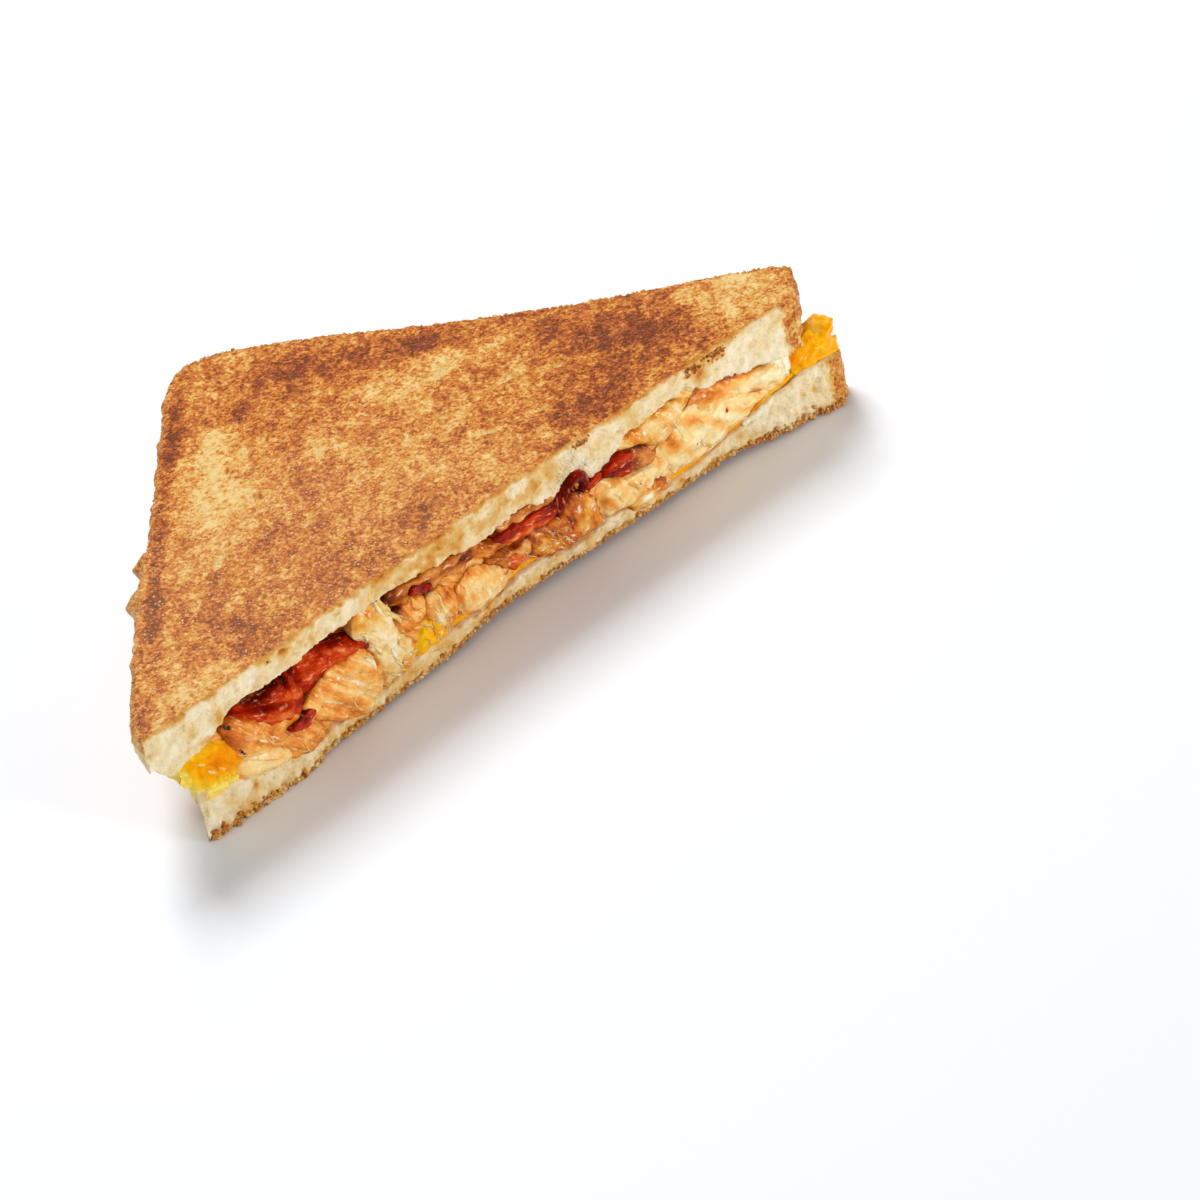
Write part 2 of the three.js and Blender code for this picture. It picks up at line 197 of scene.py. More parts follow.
class Finish:
    """A material made of one Principled shader and the nodes that feed it."""

    def __init__(self, name, **constants):
        self.material = bpy.data.materials.new(name)
        self.material.use_nodes = True
        self.tree = self.material.node_tree
        self.tree.nodes.clear()
        self.shader = self.tree.nodes.new("ShaderNodeBsdfPrincipled")
        output = self.tree.nodes.new("ShaderNodeOutputMaterial")
        self.tree.links.new(self.shader.outputs[0], output.inputs[0])
        for key, value in constants.items():
            self.shader.inputs[key.replace("_", " ")].default_value = value
        self.place = self.node("ShaderNodeTexCoord", output="Object")

    def node(self, kind, settings=None, inputs=None, output=0):
        item = self.tree.nodes.new(kind)
        for key, value in (settings or {}).items():
            if key == "stops":
                self.set_stops(item.color_ramp.elements, value)
            else:
                setattr(item, key, value)
        for key, value in (inputs or {}).items():
            if isinstance(value, Value):
                self.tree.links.new(value.socket, item.inputs[key])
            else:
                item.inputs[key].default_value = value
        return Value(self, item.outputs[output])

    def set_stops(self, elements, stops):
        """A stop is a position, then red, green and blue as the eye sees them, up to 255."""
        while len(elements) < len(stops):
            elements.new(0.5)
        for element, (position, *seen) in zip(elements, stops):
            element.position = position
            element.color = linear(*seen)

    def feed(self, key, value):
        self.tree.links.new(value.socket, self.shader.inputs[key])

    def painted(self, name):
        return self.node("ShaderNodeAttribute", {"attribute_name": name}, output="Fac")

    def grain(self, size_mm, detail=2.0, roughness=0.5, place=None, distortion=0.0):
        """Soft noise whose spots are about size_mm wide."""
        inputs = {
            "Vector": place or self.place, "Scale": 1 / (size_mm * MM), "Detail": detail,
            "Roughness": roughness, "Distortion": distortion,
        }
        return self.node("ShaderNodeTexNoise", {}, inputs)

    def cells(self, size_mm, output="Distance"):
        """Scattered cells: the distance from the nearest middle, or a chance value for each."""
        inputs = {"Vector": self.place, "Scale": 1 / (size_mm * MM)}
        return self.node("ShaderNodeTexVoronoi", {}, inputs, output)

    def ramp(self, value, stops):
        return self.node("ShaderNodeValToRGB", {"stops": stops}, {0: value})

    def between(self, value, low, high):
        """0 where the value is below low, 1 above high, smooth in between."""
        settings = {"interpolation_type": "SMOOTHSTEP"}
        inputs = {0: value, 1: low, 2: high}
        return self.node("ShaderNodeMapRange", settings, inputs)

    def blend(self, share, first, second):
        """A colour that goes from the first to the second."""
        inputs = {0: share, 6: first, 7: second}
        return self.node("ShaderNodeMix", {"data_type": "RGBA"}, inputs, output=2)

    def relief(self, height, depth_mm):
        """Bumps that are depth_mm deep where the height goes from 0 to 1."""
        normal = self.node("ShaderNodeBump", {}, {"Height": height, "Distance": depth_mm * MM})
        self.feed("Normal", normal)


def moist(tint, level, under=0.5, reach_mm=0.7, radius=(1.0, 0.85, 0.65), ior=1.5):
    """A surface with tinted highlights of a level and a share of light that goes under it."""
    return {
        "Subsurface_Weight": under, "Subsurface_Scale": reach_mm * MM, "Subsurface_Radius": radius,
        "Specular_Tint": (*tint, 1), "Specular_IOR_Level": level, "IOR": ior,
    }


def bread_finish():
    """Griddled face, brown crust and pale crumb, told apart by painted values."""
    finish = Finish("toasted bread", **moist(
        tint=(1, 0.7, 0.4), level=0.22, under=0.25, reach_mm=0.8, radius=(1.0, 0.7, 0.45), ior=1.45,
    ))
    toast = finish.painted("toast")
    crumb = finish.painted("crumb")
    blotch = finish.grain(5.0, 6.0, 0.62)
    dapple = finish.between(finish.grain(1.7, 6.0, 0.7, distortion=0.3), 0.44, 0.56)
    fleck = finish.between(finish.grain(0.7, 3.0, 0.6), 0.44, 0.58)
    speck = finish.grain(0.8, 5.0, 0.75)
    sharp = finish.between(speck, 0.42, 0.58)
    grit = finish.cells(0.5, "Color")
    round_grit = finish.cells(0.5)
    browned = toast + blotch.swing(0.4) + dapple.swing(0.2) + fleck.swing(0.24)
    browned = browned + speck.swing(0.32) + sharp.swing(0.12 + 0.16 * toast)
    browned = browned + grit.swing(0.14 + 0.18 * toast)
    face = finish.ramp(browned.held(), [
        (0.0, 242, 212, 144), (0.2, 236, 184, 98), (0.38, 222, 146, 58), (0.54, 206, 114, 38),
        (0.68, 182, 88, 34), (0.84, 150, 66, 28), (1.0, 110, 50, 22),
    ])
    tint = finish.between(finish.grain(4.5, 5.0, 0.6), 0.36, 0.64)
    sponge = 1 - finish.between(finish.cells(0.75), 0.05, 0.5)
    bubbles = 1 - finish.between(finish.cells(2.3), 0.05, 0.36)
    open_here = finish.between(finish.grain(3.0, 2.0), 0.44, 0.6)
    hollow = sponge * 0.5 + bubbles * open_here
    # The pores and bubbles are painted darker: painted shade in the holes of the crumb
    airy = toast + tint.swing(0.17) + hollow * 0.17 + speck.swing(0.26)
    inside = finish.ramp(airy.held(), [
        (0.0, 247, 232, 200), (0.16, 238, 215, 168), (0.32, 228, 188, 118), (0.5, 218, 158, 74),
        (0.7, 198, 116, 44), (0.86, 156, 80, 34), (1.0, 110, 54, 28),
    ])
    # Painted sheen: a pale wash and pale dots on the griddled face, strongest near the cut at the
    # left
    sheen = finish.painted("oily")
    dots = (1 - finish.between(finish.cells(0.7), 0.1, 0.36)) * sheen
    oily = dots * finish.between(finish.grain(2.5, 4.0, 0.6), 0.4, 0.56) + 0.1 * sheen
    face = finish.blend(oily.held(), face, linear(246, 200, 150))
    finish.feed("Base Color", finish.blend(crumb, face, inside))
    greasy = 0.22 + 0.3 * speck + 0.3 * crumb
    finish.feed("Roughness", greasy.held())
    crust_bumps = 0.5 * speck + 0.6 * (1 - round_grit) + 0.15 * dapple
    crumb_bumps = 0.5 * speck - 0.4 * hollow
    finish.relief(crust_bumps + (crumb_bumps - crust_bumps) * crumb, 0.4)
    return finish.material


def moist_surface(finish, mixed, stops, glint, flecks, roughness):
    """Colour and roughness of meat and melt.

    The glint is the colour of the small pale flecks, which are partly fat and partly painted
    highlights, and of the listed painted highlights.
    """
    flecks = flecks * finish.between(finish.grain(2.6, 2.0, 0.5), 0.44, 0.57)
    # Painted highlights: the flecks and the listed marks turn the colour towards the glint colour
    wet = (flecks * 0.55 + finish.painted("wet")).held()
    colour = finish.ramp(mixed.held(), stops)
    finish.feed("Base Color", finish.blend(wet, colour, linear(*glint)))
    finish.feed("Roughness", roughness.held())


def swells(finish):
    """Soft lumps with small dimples."""
    return finish.grain(1.7, 1.0, 0.4) + 0.25 * finish.grain(0.7, 0.5, 0.4)


def meat_finish(name, stops, gloss, fibre_mm, relief_mm, streaks, glint, **constants):
    """Cooked meat with fibres that follow each piece's own direction."""
    finish = Finish(name, **constants)
    across = finish.painted("across")
    along = finish.painted("along")

    def drawn_out(share):
        """A place whose grain is drawn out along the fibres."""
        inputs = {0: across * MM, 1: along * (share * MM)}
        return finish.node("ShaderNodeCombineXYZ", {}, inputs)

    long = drawn_out(0.12)
    fibres = finish.between(finish.grain(fibre_mm, 1.5, 0.5, long, 0.4), 0.32, 0.68)
    streaky = finish.between(finish.grain(3 * fibre_mm, 2.0, 0.5, long, 0.6), 0.36, 0.64)
    cloud = finish.grain(2.4, 5.0, 0.65)
    fine = finish.grain(0.5, 3.0, 0.7)
    strands = finish.painted("strands")
    mixed = finish.painted("tone") + (fibres.swing(0.12) + streaky.swing(streaks)) * strands
    mixed = mixed + cloud.swing(0.45) + fine.swing(0.2)
    # Pale flecks drawn out along the fibres: partly fat, partly painted highlights
    flecks = finish.between(finish.grain(0.42, 1.0, 0.5, drawn_out(0.3), 0.3), 0.62, 0.7)
    moist_surface(finish, mixed, stops, glint, flecks, gloss + cloud.swing(0.5))
    ridges = (0.12 * fibres + 0.3 * streaky) * strands
    finish.relief(ridges + swells(finish), relief_mm)
    return finish.material


def melt_finish(name, stops, gloss, relief_mm, glint, **constants):
    """Melted cheese or glaze, smooth and glossy, with painted highlights."""
    finish = Finish(name, **constants)
    cloud = finish.grain(2.2, 5.0, 0.62)
    fine = finish.grain(0.6, 2.0, 0.6)
    mixed = finish.painted("tone") + cloud.swing(0.5) + fine.swing(0.2)
    # Pale flecks: partly fat, partly painted highlights
    flecks = finish.between(finish.grain(0.6, 1.0, 0.5), 0.67, 0.75)
    moist_surface(finish, mixed, stops, glint, flecks, gloss + cloud.swing(0.5))
    finish.relief(swells(finish), relief_mm)
    return finish.material


FLESH = moist(tint=(1, 0.75, 0.45), level=0.5)
BREAD = bread_finish()
CHICKEN = meat_finish(
    "chicken", [
        (0, 255, 236, 190), (0.2, 255, 214, 142), (0.4, 250, 184, 92), (0.58, 234, 144, 46),
        (0.75, 208, 102, 18), (0.9, 156, 64, 10), (1, 92, 36, 12),
    ],
    gloss=0.22, fibre_mm=0.5, relief_mm=0.5, streaks=0.24, glint=(255, 244, 216), **FLESH,
)
BACON = meat_finish(
    "bacon", [
        (0, 240, 190, 130), (0.2, 226, 128, 56), (0.4, 208, 66, 12), (0.6, 164, 24, 2),
        (0.8, 100, 6, 0), (1, 40, 3, 0),
    ],
    gloss=0.16, fibre_mm=0.8, relief_mm=0.55, streaks=0.14, glint=(248, 152, 104),
    **moist(tint=(1, 0.3, 0.12), level=0.24, under=0.25, reach_mm=1, radius=(1.0, 0.4, 0.2)),
)
FAT = meat_finish(
    "cooked fat", [
        (0, 246, 206, 146), (0.3, 228, 156, 78), (0.55, 198, 110, 36), (0.75, 154, 62, 16),
        (1, 74, 26, 6),
    ],
    gloss=0.16, fibre_mm=0.9, relief_mm=0.7, streaks=0.2, glint=(255, 216, 170),
    **moist(tint=(1, 0.6, 0.3), level=0.25),
)
MELT = meat_finish(
    "pale melt", [
        (0, 253, 244, 218), (0.25, 247, 224, 172), (0.45, 238, 192, 104), (0.62, 230, 148, 36),
        (0.8, 206, 98, 12), (1, 136, 50, 8),
    ],
    gloss=0.16, fibre_mm=1.0, relief_mm=0.5, streaks=0.2, glint=(255, 246, 224), **FLESH,
)
CHEDDAR = melt_finish(
    "cheddar", [
        (0, 254, 226, 112), (0.3, 250, 196, 32), (0.55, 250, 168, 0), (0.8, 240, 138, 0),
        (1, 200, 92, 0),
    ],
    gloss=0.14, relief_mm=0.5, glint=(255, 232, 140),
    **moist(tint=(1, 0.6, 0.1), level=0.12, under=0.2),
)
HERB = melt_finish(
    "herb", [(0, 96, 84, 40), (0.5, 66, 52, 28), (1, 38, 28, 18)],
    gloss=0.5, relief_mm=0.2, glint=(120, 104, 60), IOR=1.4, Specular_IOR_Level=0.3,
)


# Mesh helpers
def seed_shift(seed):
    return Vector((seed * 7.31, seed * 3.17, seed * 5.53))


def field(points, size_mm, seed, octaves=1):
    """Noise at points, in millimetres, with spots of a size, from about -1 to 1."""
    shift = seed_shift(seed)
    if octaves == 1:
        return np.array([noise.noise(Vector(point) / size_mm + shift) for point in points])
    return np.array([
        noise.fractal(Vector(point) / size_mm + shift, 0.7, 2.1, octaves) for point in points
    ])


def pits(points, size_mm, seed):
    """Distance to the nearest of scattered points, in cells."""
    shift = seed_shift(seed)
    return np.array([noise.voronoi(Vector(point) / size_mm + shift)[0][0] for point in points])


def new_grid(name, columns, rows):
    """A flat grid's mesh, and each vertex's column and row number."""
    mesh = bpy.data.meshes.new(name)
    bm = bmesh.new()
    bmesh.ops.create_grid(bm, x_segments=columns, y_segments=rows, size=1)
    bm.to_mesh(mesh)
    bm.free()
    flat = get_points(mesh)
    column = np.rint((flat[:, 0] + 1) / 2 * columns).astype(int)
    row = np.rint((flat[:, 1] + 1) / 2 * rows).astype(int)
    return mesh, column, row


def get_points(mesh):
    values = np.empty(len(mesh.vertices) * 3)
    mesh.vertices.foreach_get("co", values)
    return values.reshape(-1, 3)


def set_points(mesh, points):
    mesh.vertices.foreach_set("co", np.asarray(points, float).ravel())
    mesh.update()


def push_out(mesh, push):
    """Move each vertex along its normal, and return the new points."""
    normals = np.empty(len(mesh.vertices) * 3)
    mesh.vertex_normals.foreach_get("vector", normals)
    points = get_points(mesh) + normals.reshape(-1, 3) * push[:, None]
    set_points(mesh, points)
    return points


def paint(mesh, name, values):
    layer = mesh.attributes.get(name) or mesh.attributes.new(name, "FLOAT", "POINT")
    layer.data.foreach_set("value", np.asarray(values, float))


def painted(mesh, name):
    values = np.empty(len(mesh.vertices))
    mesh.attributes[name].data.foreach_get("value", values)
    return values


def paint_meat(mesh, tone, across, along, strands=1.0):
    """What a meat finish reads: the tone, and the place across and along the fibres."""
    paint(mesh, "tone", tone)
    paint(mesh, "across", across)
    paint(mesh, "along", along)
    paint(mesh, "strands", np.full(len(mesh.vertices), strands))


def weld(mesh, gap_mm=0.004):
    """Close the seams and the poles, with every face turned outwards."""
    bm = bmesh.new()
    bm.from_mesh(mesh)
    bmesh.ops.remove_doubles(bm, verts=bm.verts, dist=gap_mm)
    bmesh.ops.recalc_face_normals(bm, faces=bm.faces)
    bm.to_mesh(mesh)
    bm.free()
    mesh.update()


def finish_piece(mesh, material, nodes=()):
    """Place a mesh that was modelled in corner millimetres, and hand it to the frame."""
    points = get_points(mesh)
    points += (CORNER_X, CORNER_Y, 0)
    set_points(mesh, points * MM)
    mesh.polygons.foreach_set("use_smooth", [True] * len(mesh.polygons))
    mesh.materials.append(material)
    piece = bpy.data.objects.new(mesh.name, mesh)
    bpy.context.scene.collection.objects.link(piece)
    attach(piece, "root")
    if nodes:
        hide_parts(*nodes)
    return piece


def rounded(points, closed=False, rounds=3):
    """Corners of a run of points cut off again and again."""
    points = np.array(points, float)
    for _ in range(rounds):
        if closed:
            after = np.roll(points, -1, 0)
            points = np.stack([0.75 * points + 0.25 * after, 0.25 * points + 0.75 * after], 1)
            points = points.reshape(-1, points.shape[-1])
        else:
            near = 0.75 * points[:-1] + 0.25 * points[1:]
            far = 0.25 * points[:-1] + 0.75 * points[1:]
            middle = np.stack([near, far], 1).reshape(-1, points.shape[-1])
            points = np.vstack([points[:1], middle, points[-1:]])
    return points


def spaced(points, count, closed=False):
    """count evenly spaced steps along a run of points."""
    if closed:
        points = np.vstack([points, points[:1]])
    lengths = np.linalg.norm(np.diff(points, axis=0), axis=1)
    at = np.concatenate([[0], np.cumsum(lengths)])
    wanted = np.linspace(0, at[-1], count + 1)
    return np.stack([np.interp(wanted, at, values) for values in points.T], 1)


# Layers that run through the half: bread, cheese and filling
def side_points(slip, left_tip):
    """The uncut sides from the left tip over the square corner to the blunt corner."""
    p_tip, q_tip = left_tip
    left_side = [
        (0.5, q_tip - 3.5), (-0.3, 98), (-0.7, 88), (-0.6, 74), (-0.2, 58), (0, 40), (0, 24),
        (0, 13), (0.8, 6.5), (3, 2.6), (7.5, 0.4), (14, -0.2),
    ]
    right_side = [
        (25, 0), (43, 0.9), (60, 1.6), (75, 1.3), (90, 0.6), (103, 0), (BREAD_SIDE - 2.4, 0),
        (BREAD_SIDE - 0.2, 1.4),
    ]
    run_down = [(p_tip, q_tip)] + [(slip + p, q) for p, q in left_side + right_side]
    return [square(p, q) for p, q in run_down]


SLICES = {
    "top": {"slip": 0, "left_tip": (2.3, 109.8), "blunt": 11.8},
    "bottom": {"slip": SLICE_SLIP, "left_tip": (7.0, 103.8), "blunt": 7.2},
}


class Layer:
    """A level layer of the sandwich, as a sleeve of rows around its two edges.

    Column 0 is at the left tip and the last column at the blunt corner. The rows run over the
    upper face from the uncut sides to the cut, down the cut, back under the lower face and up
    the uncut sides. The insets are functions of a place on the side and on the cut.
    """

    def __init__(self, name, slice_name, low, high, columns=390, rows=(160, 24, 14),
                 round_high=1.4, round_low=1.2, swell=0.5, tip_trim=0.0,
                 side_inset=lambda places: np.zeros(len(places)), cut_inset=lambda x, z: 0.0):
        shape = SLICES[slice_name]
        sides = rounded(side_points(shape["slip"], shape["left_tip"]))
        tip_x = square(*shape["left_tip"])[0] + tip_trim
        back = spaced(sides[sides[:, 0] >= tip_x - 0.001], columns)
        end = shape["slip"] + BREAD_SIDE
        blunt_x, _ = square(end, shape["blunt"])
        cut_x = np.linspace(tip_x, blunt_x, 120)
        cut = np.stack([cut_x, cut_face(cut_x, HEIGHT / 2)], 1)
        blunt = np.array([square(end - 0.1, shape["blunt"] * k) for k in (0.75, 0.5, 0.25)])
        start = cut[1:] if tip_trim == 0 else cut
        front = spaced(np.vstack([back[:1], start, blunt, back[-1:]]), columns)
        reach = np.linalg.norm(front - back, axis=1)
        direction = (front - back) / np.maximum(reach, 0.01)[:, None]
        direction[0] = direction[1]
        direction[-1] = direction[-2]
        self.name = name
        self.low = low
        self.high = high
        self.back = back
        self.front = front
        self.direction = direction
        self.reach = reach
        self.open_up = smooth(reach / 3)
        self.cutness = 1 - smooth((front[:, 0] - blunt_x + 0.6) / 0.9)
        self.columns = columns
        self.rows = rows
        self.round_high = round_high
        self.round_low = round_low
        self.swell = swell
        self.side_inset = side_inset
        self.cut_inset = cut_inset

    def wall_place(self, column, share, base, way, inset, softness, swelling):
        """A point on a wall that stands at a base and faces a way, share of the way down."""
        limit = 0.4 * self.reach[column]
        inset = np.minimum(inset, limit)
        x, y = (base - way * inset[:, None]).T
        thickness = np.maximum(self.high(x, y) - self.low(x, y), 0.05)
        lost = 0
        for gap, rounding in ((share, self.round_high), (1 - share, self.round_low)):
            radius = np.minimum(np.minimum(rounding * softness, limit), 0.5 * thickness)
            inner = np.clip(1 - gap * thickness / np.maximum(radius, 1e-6), 0, 1)
            lost = lost + radius * (1 - np.sqrt(1 - inner * inner))
        bulge = self.swell * self.open_up[column] * np.sin(np.pi * np.clip(share, 0, 1))
        out = bulge * swelling - lost - inset
        x, y = (base + way * out[:, None]).T
        z = self.high(x, y) - share * (self.high(x, y) - self.low(x, y))
        return x, y, z

    def side_place(self, column, share):
        """A point on the uncut wall, share of the way down."""
        base = self.back[column]
        inset = self.side_inset(base)
        place = self.wall_place(column, share, base, -self.direction[column], inset, 1, 1)
        return np.stack(place, 1)

    def cut_place(self, column, share):
        """A point on the cut wall, or round on the blunt end, share of the way down."""
        cutness = self.cutness[column]
        inset = self.side_inset(self.back[column]) * (1 - cutness)
        x, y, z = self.wall_place(
            column, share, self.front[column], self.direction[column], inset,
            softness=0.4 + 0.6 * (1 - cutness), swelling=1 - cutness,
        )
        inset = np.minimum(self.cut_inset(x, z), 0.4 * self.reach[column])
        knife = cut_face(x, z) - cut_face(x, HEIGHT / 2) + inset
        return np.stack([x, y + knife * cutness * self.open_up[column], z], 1)

    def build(self):
        """The layer's mesh, painted with where it is crumb, outer side and underside."""
        top_rows, wall_rows, low_rows = self.rows
        cut_row = top_rows + wall_rows
        low_row = cut_row + low_rows
        mesh, column, row = new_grid(self.name, self.columns, low_row + wall_rows)
        on_top = row <= top_rows
        on_cut = (row > top_rows) & (row < cut_row)
        on_low = (row >= cut_row) & (row <= low_row)
        on_side = row > low_row
        points = np.empty((len(column), 3))
        for here, height, start, end, edge, share in (
            (on_top, self.high, self.side_place, self.cut_place, 0.0, row / top_rows),
            (on_low, self.low, self.cut_place, self.side_place, 1.0, (row - cut_row) / low_rows),
        ):
            edges = np.full(len(column), edge)
            start = start(column, edges)
            face = start + (end(column, edges) - start) * np.clip(share, 0, 1)[:, None]
            face[:, 2] = height(face[:, 0], face[:, 1])
            points[here] = face[here]
        share = np.clip((row - top_rows) / wall_rows, 0, 1)
        points[on_cut] = self.cut_place(column, share)[on_cut]
        share = np.clip(1 - (row - low_row) / wall_rows, 0, 1)
        points[on_side] = self.side_place(column, share)[on_side]
        wall = on_cut.astype(float)
        wall[(row == top_rows) | (row == cut_row)] = 0.6
        cutness = self.cutness[column]
        paint(mesh, "crumb", wall * cutness)
        paint(mesh, "side", np.clip(on_side + wall * (1 - cutness), 0, 1))
        paint(mesh, "under", on_low.astype(float))
        set_points(mesh, points)
        weld(mesh)
        return mesh


# Brown and pale patches of the griddled face: middle, half widths, turn in degrees, browning
TOAST_PATCHES = [
    (-27, -41, 13, 5, 50, -0.28), (-15, -29, 9, 3.5, 55, -0.22), (-6, -24, 6, 3, 0, 0.14),
    (8, -23, 7, 4, -30, 0.18), (15, -29, 7, 4, -45, 0.14), (26, -37, 9, 3.5, -30, 0.26),
    (4, -14, 6, 4, 0, -0.1), (22, -46, 9, 4, -10, -0.24), (12, -43, 6, 3, 0, -0.14),
    (34, -50, 3, 2, 0, -0.2), (41, -57, 5, 8, 20, 0.18), (50, -69, 8, 10, 30, 0.2),
    (28, -76, 8, 5, 0, 0.23), (38, -72, 8, 6, 0, 0.08), (-48, -72, 5, 10, 0, 0.24),
    (-30, -71, 6, 6, 0, 0.2), (-11, -75, 6, 4, 0, 0.2), (-36, -57, 8, 3, 20, 0.12),
    (-22, -61, 5, 4, 0, 0.1), (65, -75, 9, 9, 0, -0.3), (-64, -77, 9, 4, 0, -0.16),
    (6, -76, 4, 6, 0, -0.14), (-6, -64, 12, 6, 0, -0.1), (6, -22, 9, 6, 0, 0.08),
    (12, -59, 8, 5, 0, -0.08), (-4, -50, 5, 4, 0, -0.06), (-20, -46, 4, 3, 0, -0.1),
    (28, -59, 3, 2, 0, -0.16),
]

# Small torn holes in the griddled face, paler inside: middle, half widths and turn
TOAST_HOLES = [
    (-37, -54, 2.2, 0.8, 35), (-22, -59, 1.8, 0.7, 30), (-13, -34, 2.0, 0.8, 50),
    (-6.5, -46, 2.8, 0.8, 45), (-30, -30, 1.6, 0.7, 50), (21, -47, 2.2, 1.0, -10),
    (26, -58.5, 2.0, 0.8, 0), (33.5, -63.5, 2.0, 0.8, -20), (22.5, -70, 1.6, 0.8, 0),
    (13, -67, 2.4, 0.6, -30), (-22, -46, 1.6, 0.5, 60), (4, -56, 1.2, 0.5, 20),
    (-47, -60, 1.4, 0.5, 40), (44, -50, 1.2, 0.5, 0), (-2, -66, 1.4, 0.6, 10),
]

# Stains and pockets of the crumb at the cut, and painted shade in two patches: middle, half widths,
# turn in degrees, browning
CRUMB_STAINS_AND_SHADE = [
    (-66, 9.4, 2.2, 1.3, 0, 0.3), (-58, 4.6, 0.8, 1.3, 0, 0.4), (-66.5, 22, 1.6, 1.2, 30, 0.25),
    (-61.5, 21, 1.6, 1.5, 0, 0.35), (-64, 18, 4, 0.9, -10, 0.3), (-73, 17, 2, 3, 45, 0.15),
    (-35.6, 24.2, 0.7, 0.7, 0, 0.55), (-50.6, 24.6, 0.5, 0.4, 0, 0.6),
    (-47.5, 24.7, 1.3, 0.7, 0, 0.35), (-25, 25.8, 3, 0.9, 0, 0.5),
    (-13, 25.9, 3.2, 1.1, 0, 0.5), (-14, 21, 7, 2.5, 0, 0.2),
    (2, 22, 8, 2, 0, 0.16), (8, 25.6, 1.2, 0.8, 0, 0.4), (18.6, 25.9, 1.4, 0.6, 0, 0.35),
    # (19.5, 24) is painted shade under the torn wisps of crumb
    (19.5, 24, 1.5, 1.2, 0, 0.25), (44, 23.6, 0.8, 0.4, -20, 0.6), (45.6, 24, 0.9, 0.7, 0, 0.6),
    (50.2, 23.6, 0.9, 0.7, 0, 0.6), (52, 24.5, 0.7, 1.2, 0, 0.5), (48, 25.5, 2.2, 1.4, 0, 0.35),
    (47, 22, 1.2, 1.6, -40, 0.4), (58.6, 21.6, 0.5, 1, 0, 0.3), (55, 4.5, 2, 1.2, 0, 0.22),
    (66.6, 3.2, 0.5, 0.5, 0, 0.3), (71, 5.6, 0.4, 0.5, 0, 0.35), (41, 2.8, 1.5, 0.6, 0, 0.3),
    # (-5, 3) is painted shade along the middle of the bottom slice's crumb
    (-5, 3, 42, 3, 0, 0.2), (33, 20.5, 8, 2.5, 0, 0.16), (60, 25, 8, 1.5, 0, 0.1),
    (-45, 23.4, 12, 3, 0, 0.1), (-14, 23, 13, 4, 0, 0.26), (9, 22.6, 9, 4, 0, 0.2),
    (-60, 8.5, 5, 1.4, 0, 0.16), (36, 23, 10, 3, 0, 0.08),
]


# Points of the thin flange on the left crust: place, half width, and how far each stands out
FLANGE_POINTS = [(59.7, 1.2, 2.4), (70, 2.6, 2.8)]
FLANGE_HEIGHT = 22.5

# The tone and depth of the torn holes, and how far the grain may rise over the slice
HOLE_TONE = -0.48
HOLE_PUSH = -0.7
GRAIN_RISE = 0.4


def patched(x, y, patches):
    """The sum of soft oval patches, each with its own amount."""
    total = np.zeros(len(x))
    for middle_x, middle_y, half_x, half_y, turn, amount in patches:
        cosine = math.cos(math.radians(turn))
        sine = math.sin(math.radians(turn))
        along = (x - middle_x) * cosine + (y - middle_y) * sine
        across = -(x - middle_x) * sine + (y - middle_y) * cosine
        total += amount * np.exp(-((along / half_x) ** 2) - (across / half_y) ** 2)
    return total


def griddled(points):
    """How brown the griddled face is at plan points: 0 pale, 1 dark."""
    x, y, _ = points.T
    p, q = from_sides(x, y)
    flat = points * (1, 1, 0)
    wander = field(flat, 9, 3, 3)
    band = np.exp(-(((p - 1.9 - 0.8 * wander) / 1.9) ** 2)) * smooth((q - 8) / 12)
    rim = np.exp(-((p / 0.6) ** 2))
    right_rim = np.exp(-((q / 2.0) ** 2))
    toast = 0.49 + 1.5 * patched(x + 2 * wander, y + 2 * field(flat, 9, 5, 3), TOAST_PATCHES)
    grained = np.stack([x + y, 2.4 * (y - x), np.zeros(len(x))], 1)
    toast += 0.14 * field(flat, 5, 7, 3) + 0.2 * field(grained, 7, 9, 3)
    toast += 0.42 * band * (0.75 + 0.5 * wander)
    toast += 0.04 * right_rim - 0.14 * rim + 0.001 * (x + 5)
    toast += patched(x, y, [(*hole, HOLE_TONE) for hole in TOAST_HOLES])
    return toast


def flange(points):
    """How far the thin flange on the left crust stands out along the side."""
    x, y, _ = points.T
    _, q = from_sides(x, y)
    stands = sum(far * np.exp(-np.abs((q - at) / half)) for at, half, far in FLANGE_POINTS)
    return stands * (x < CORNER_X)


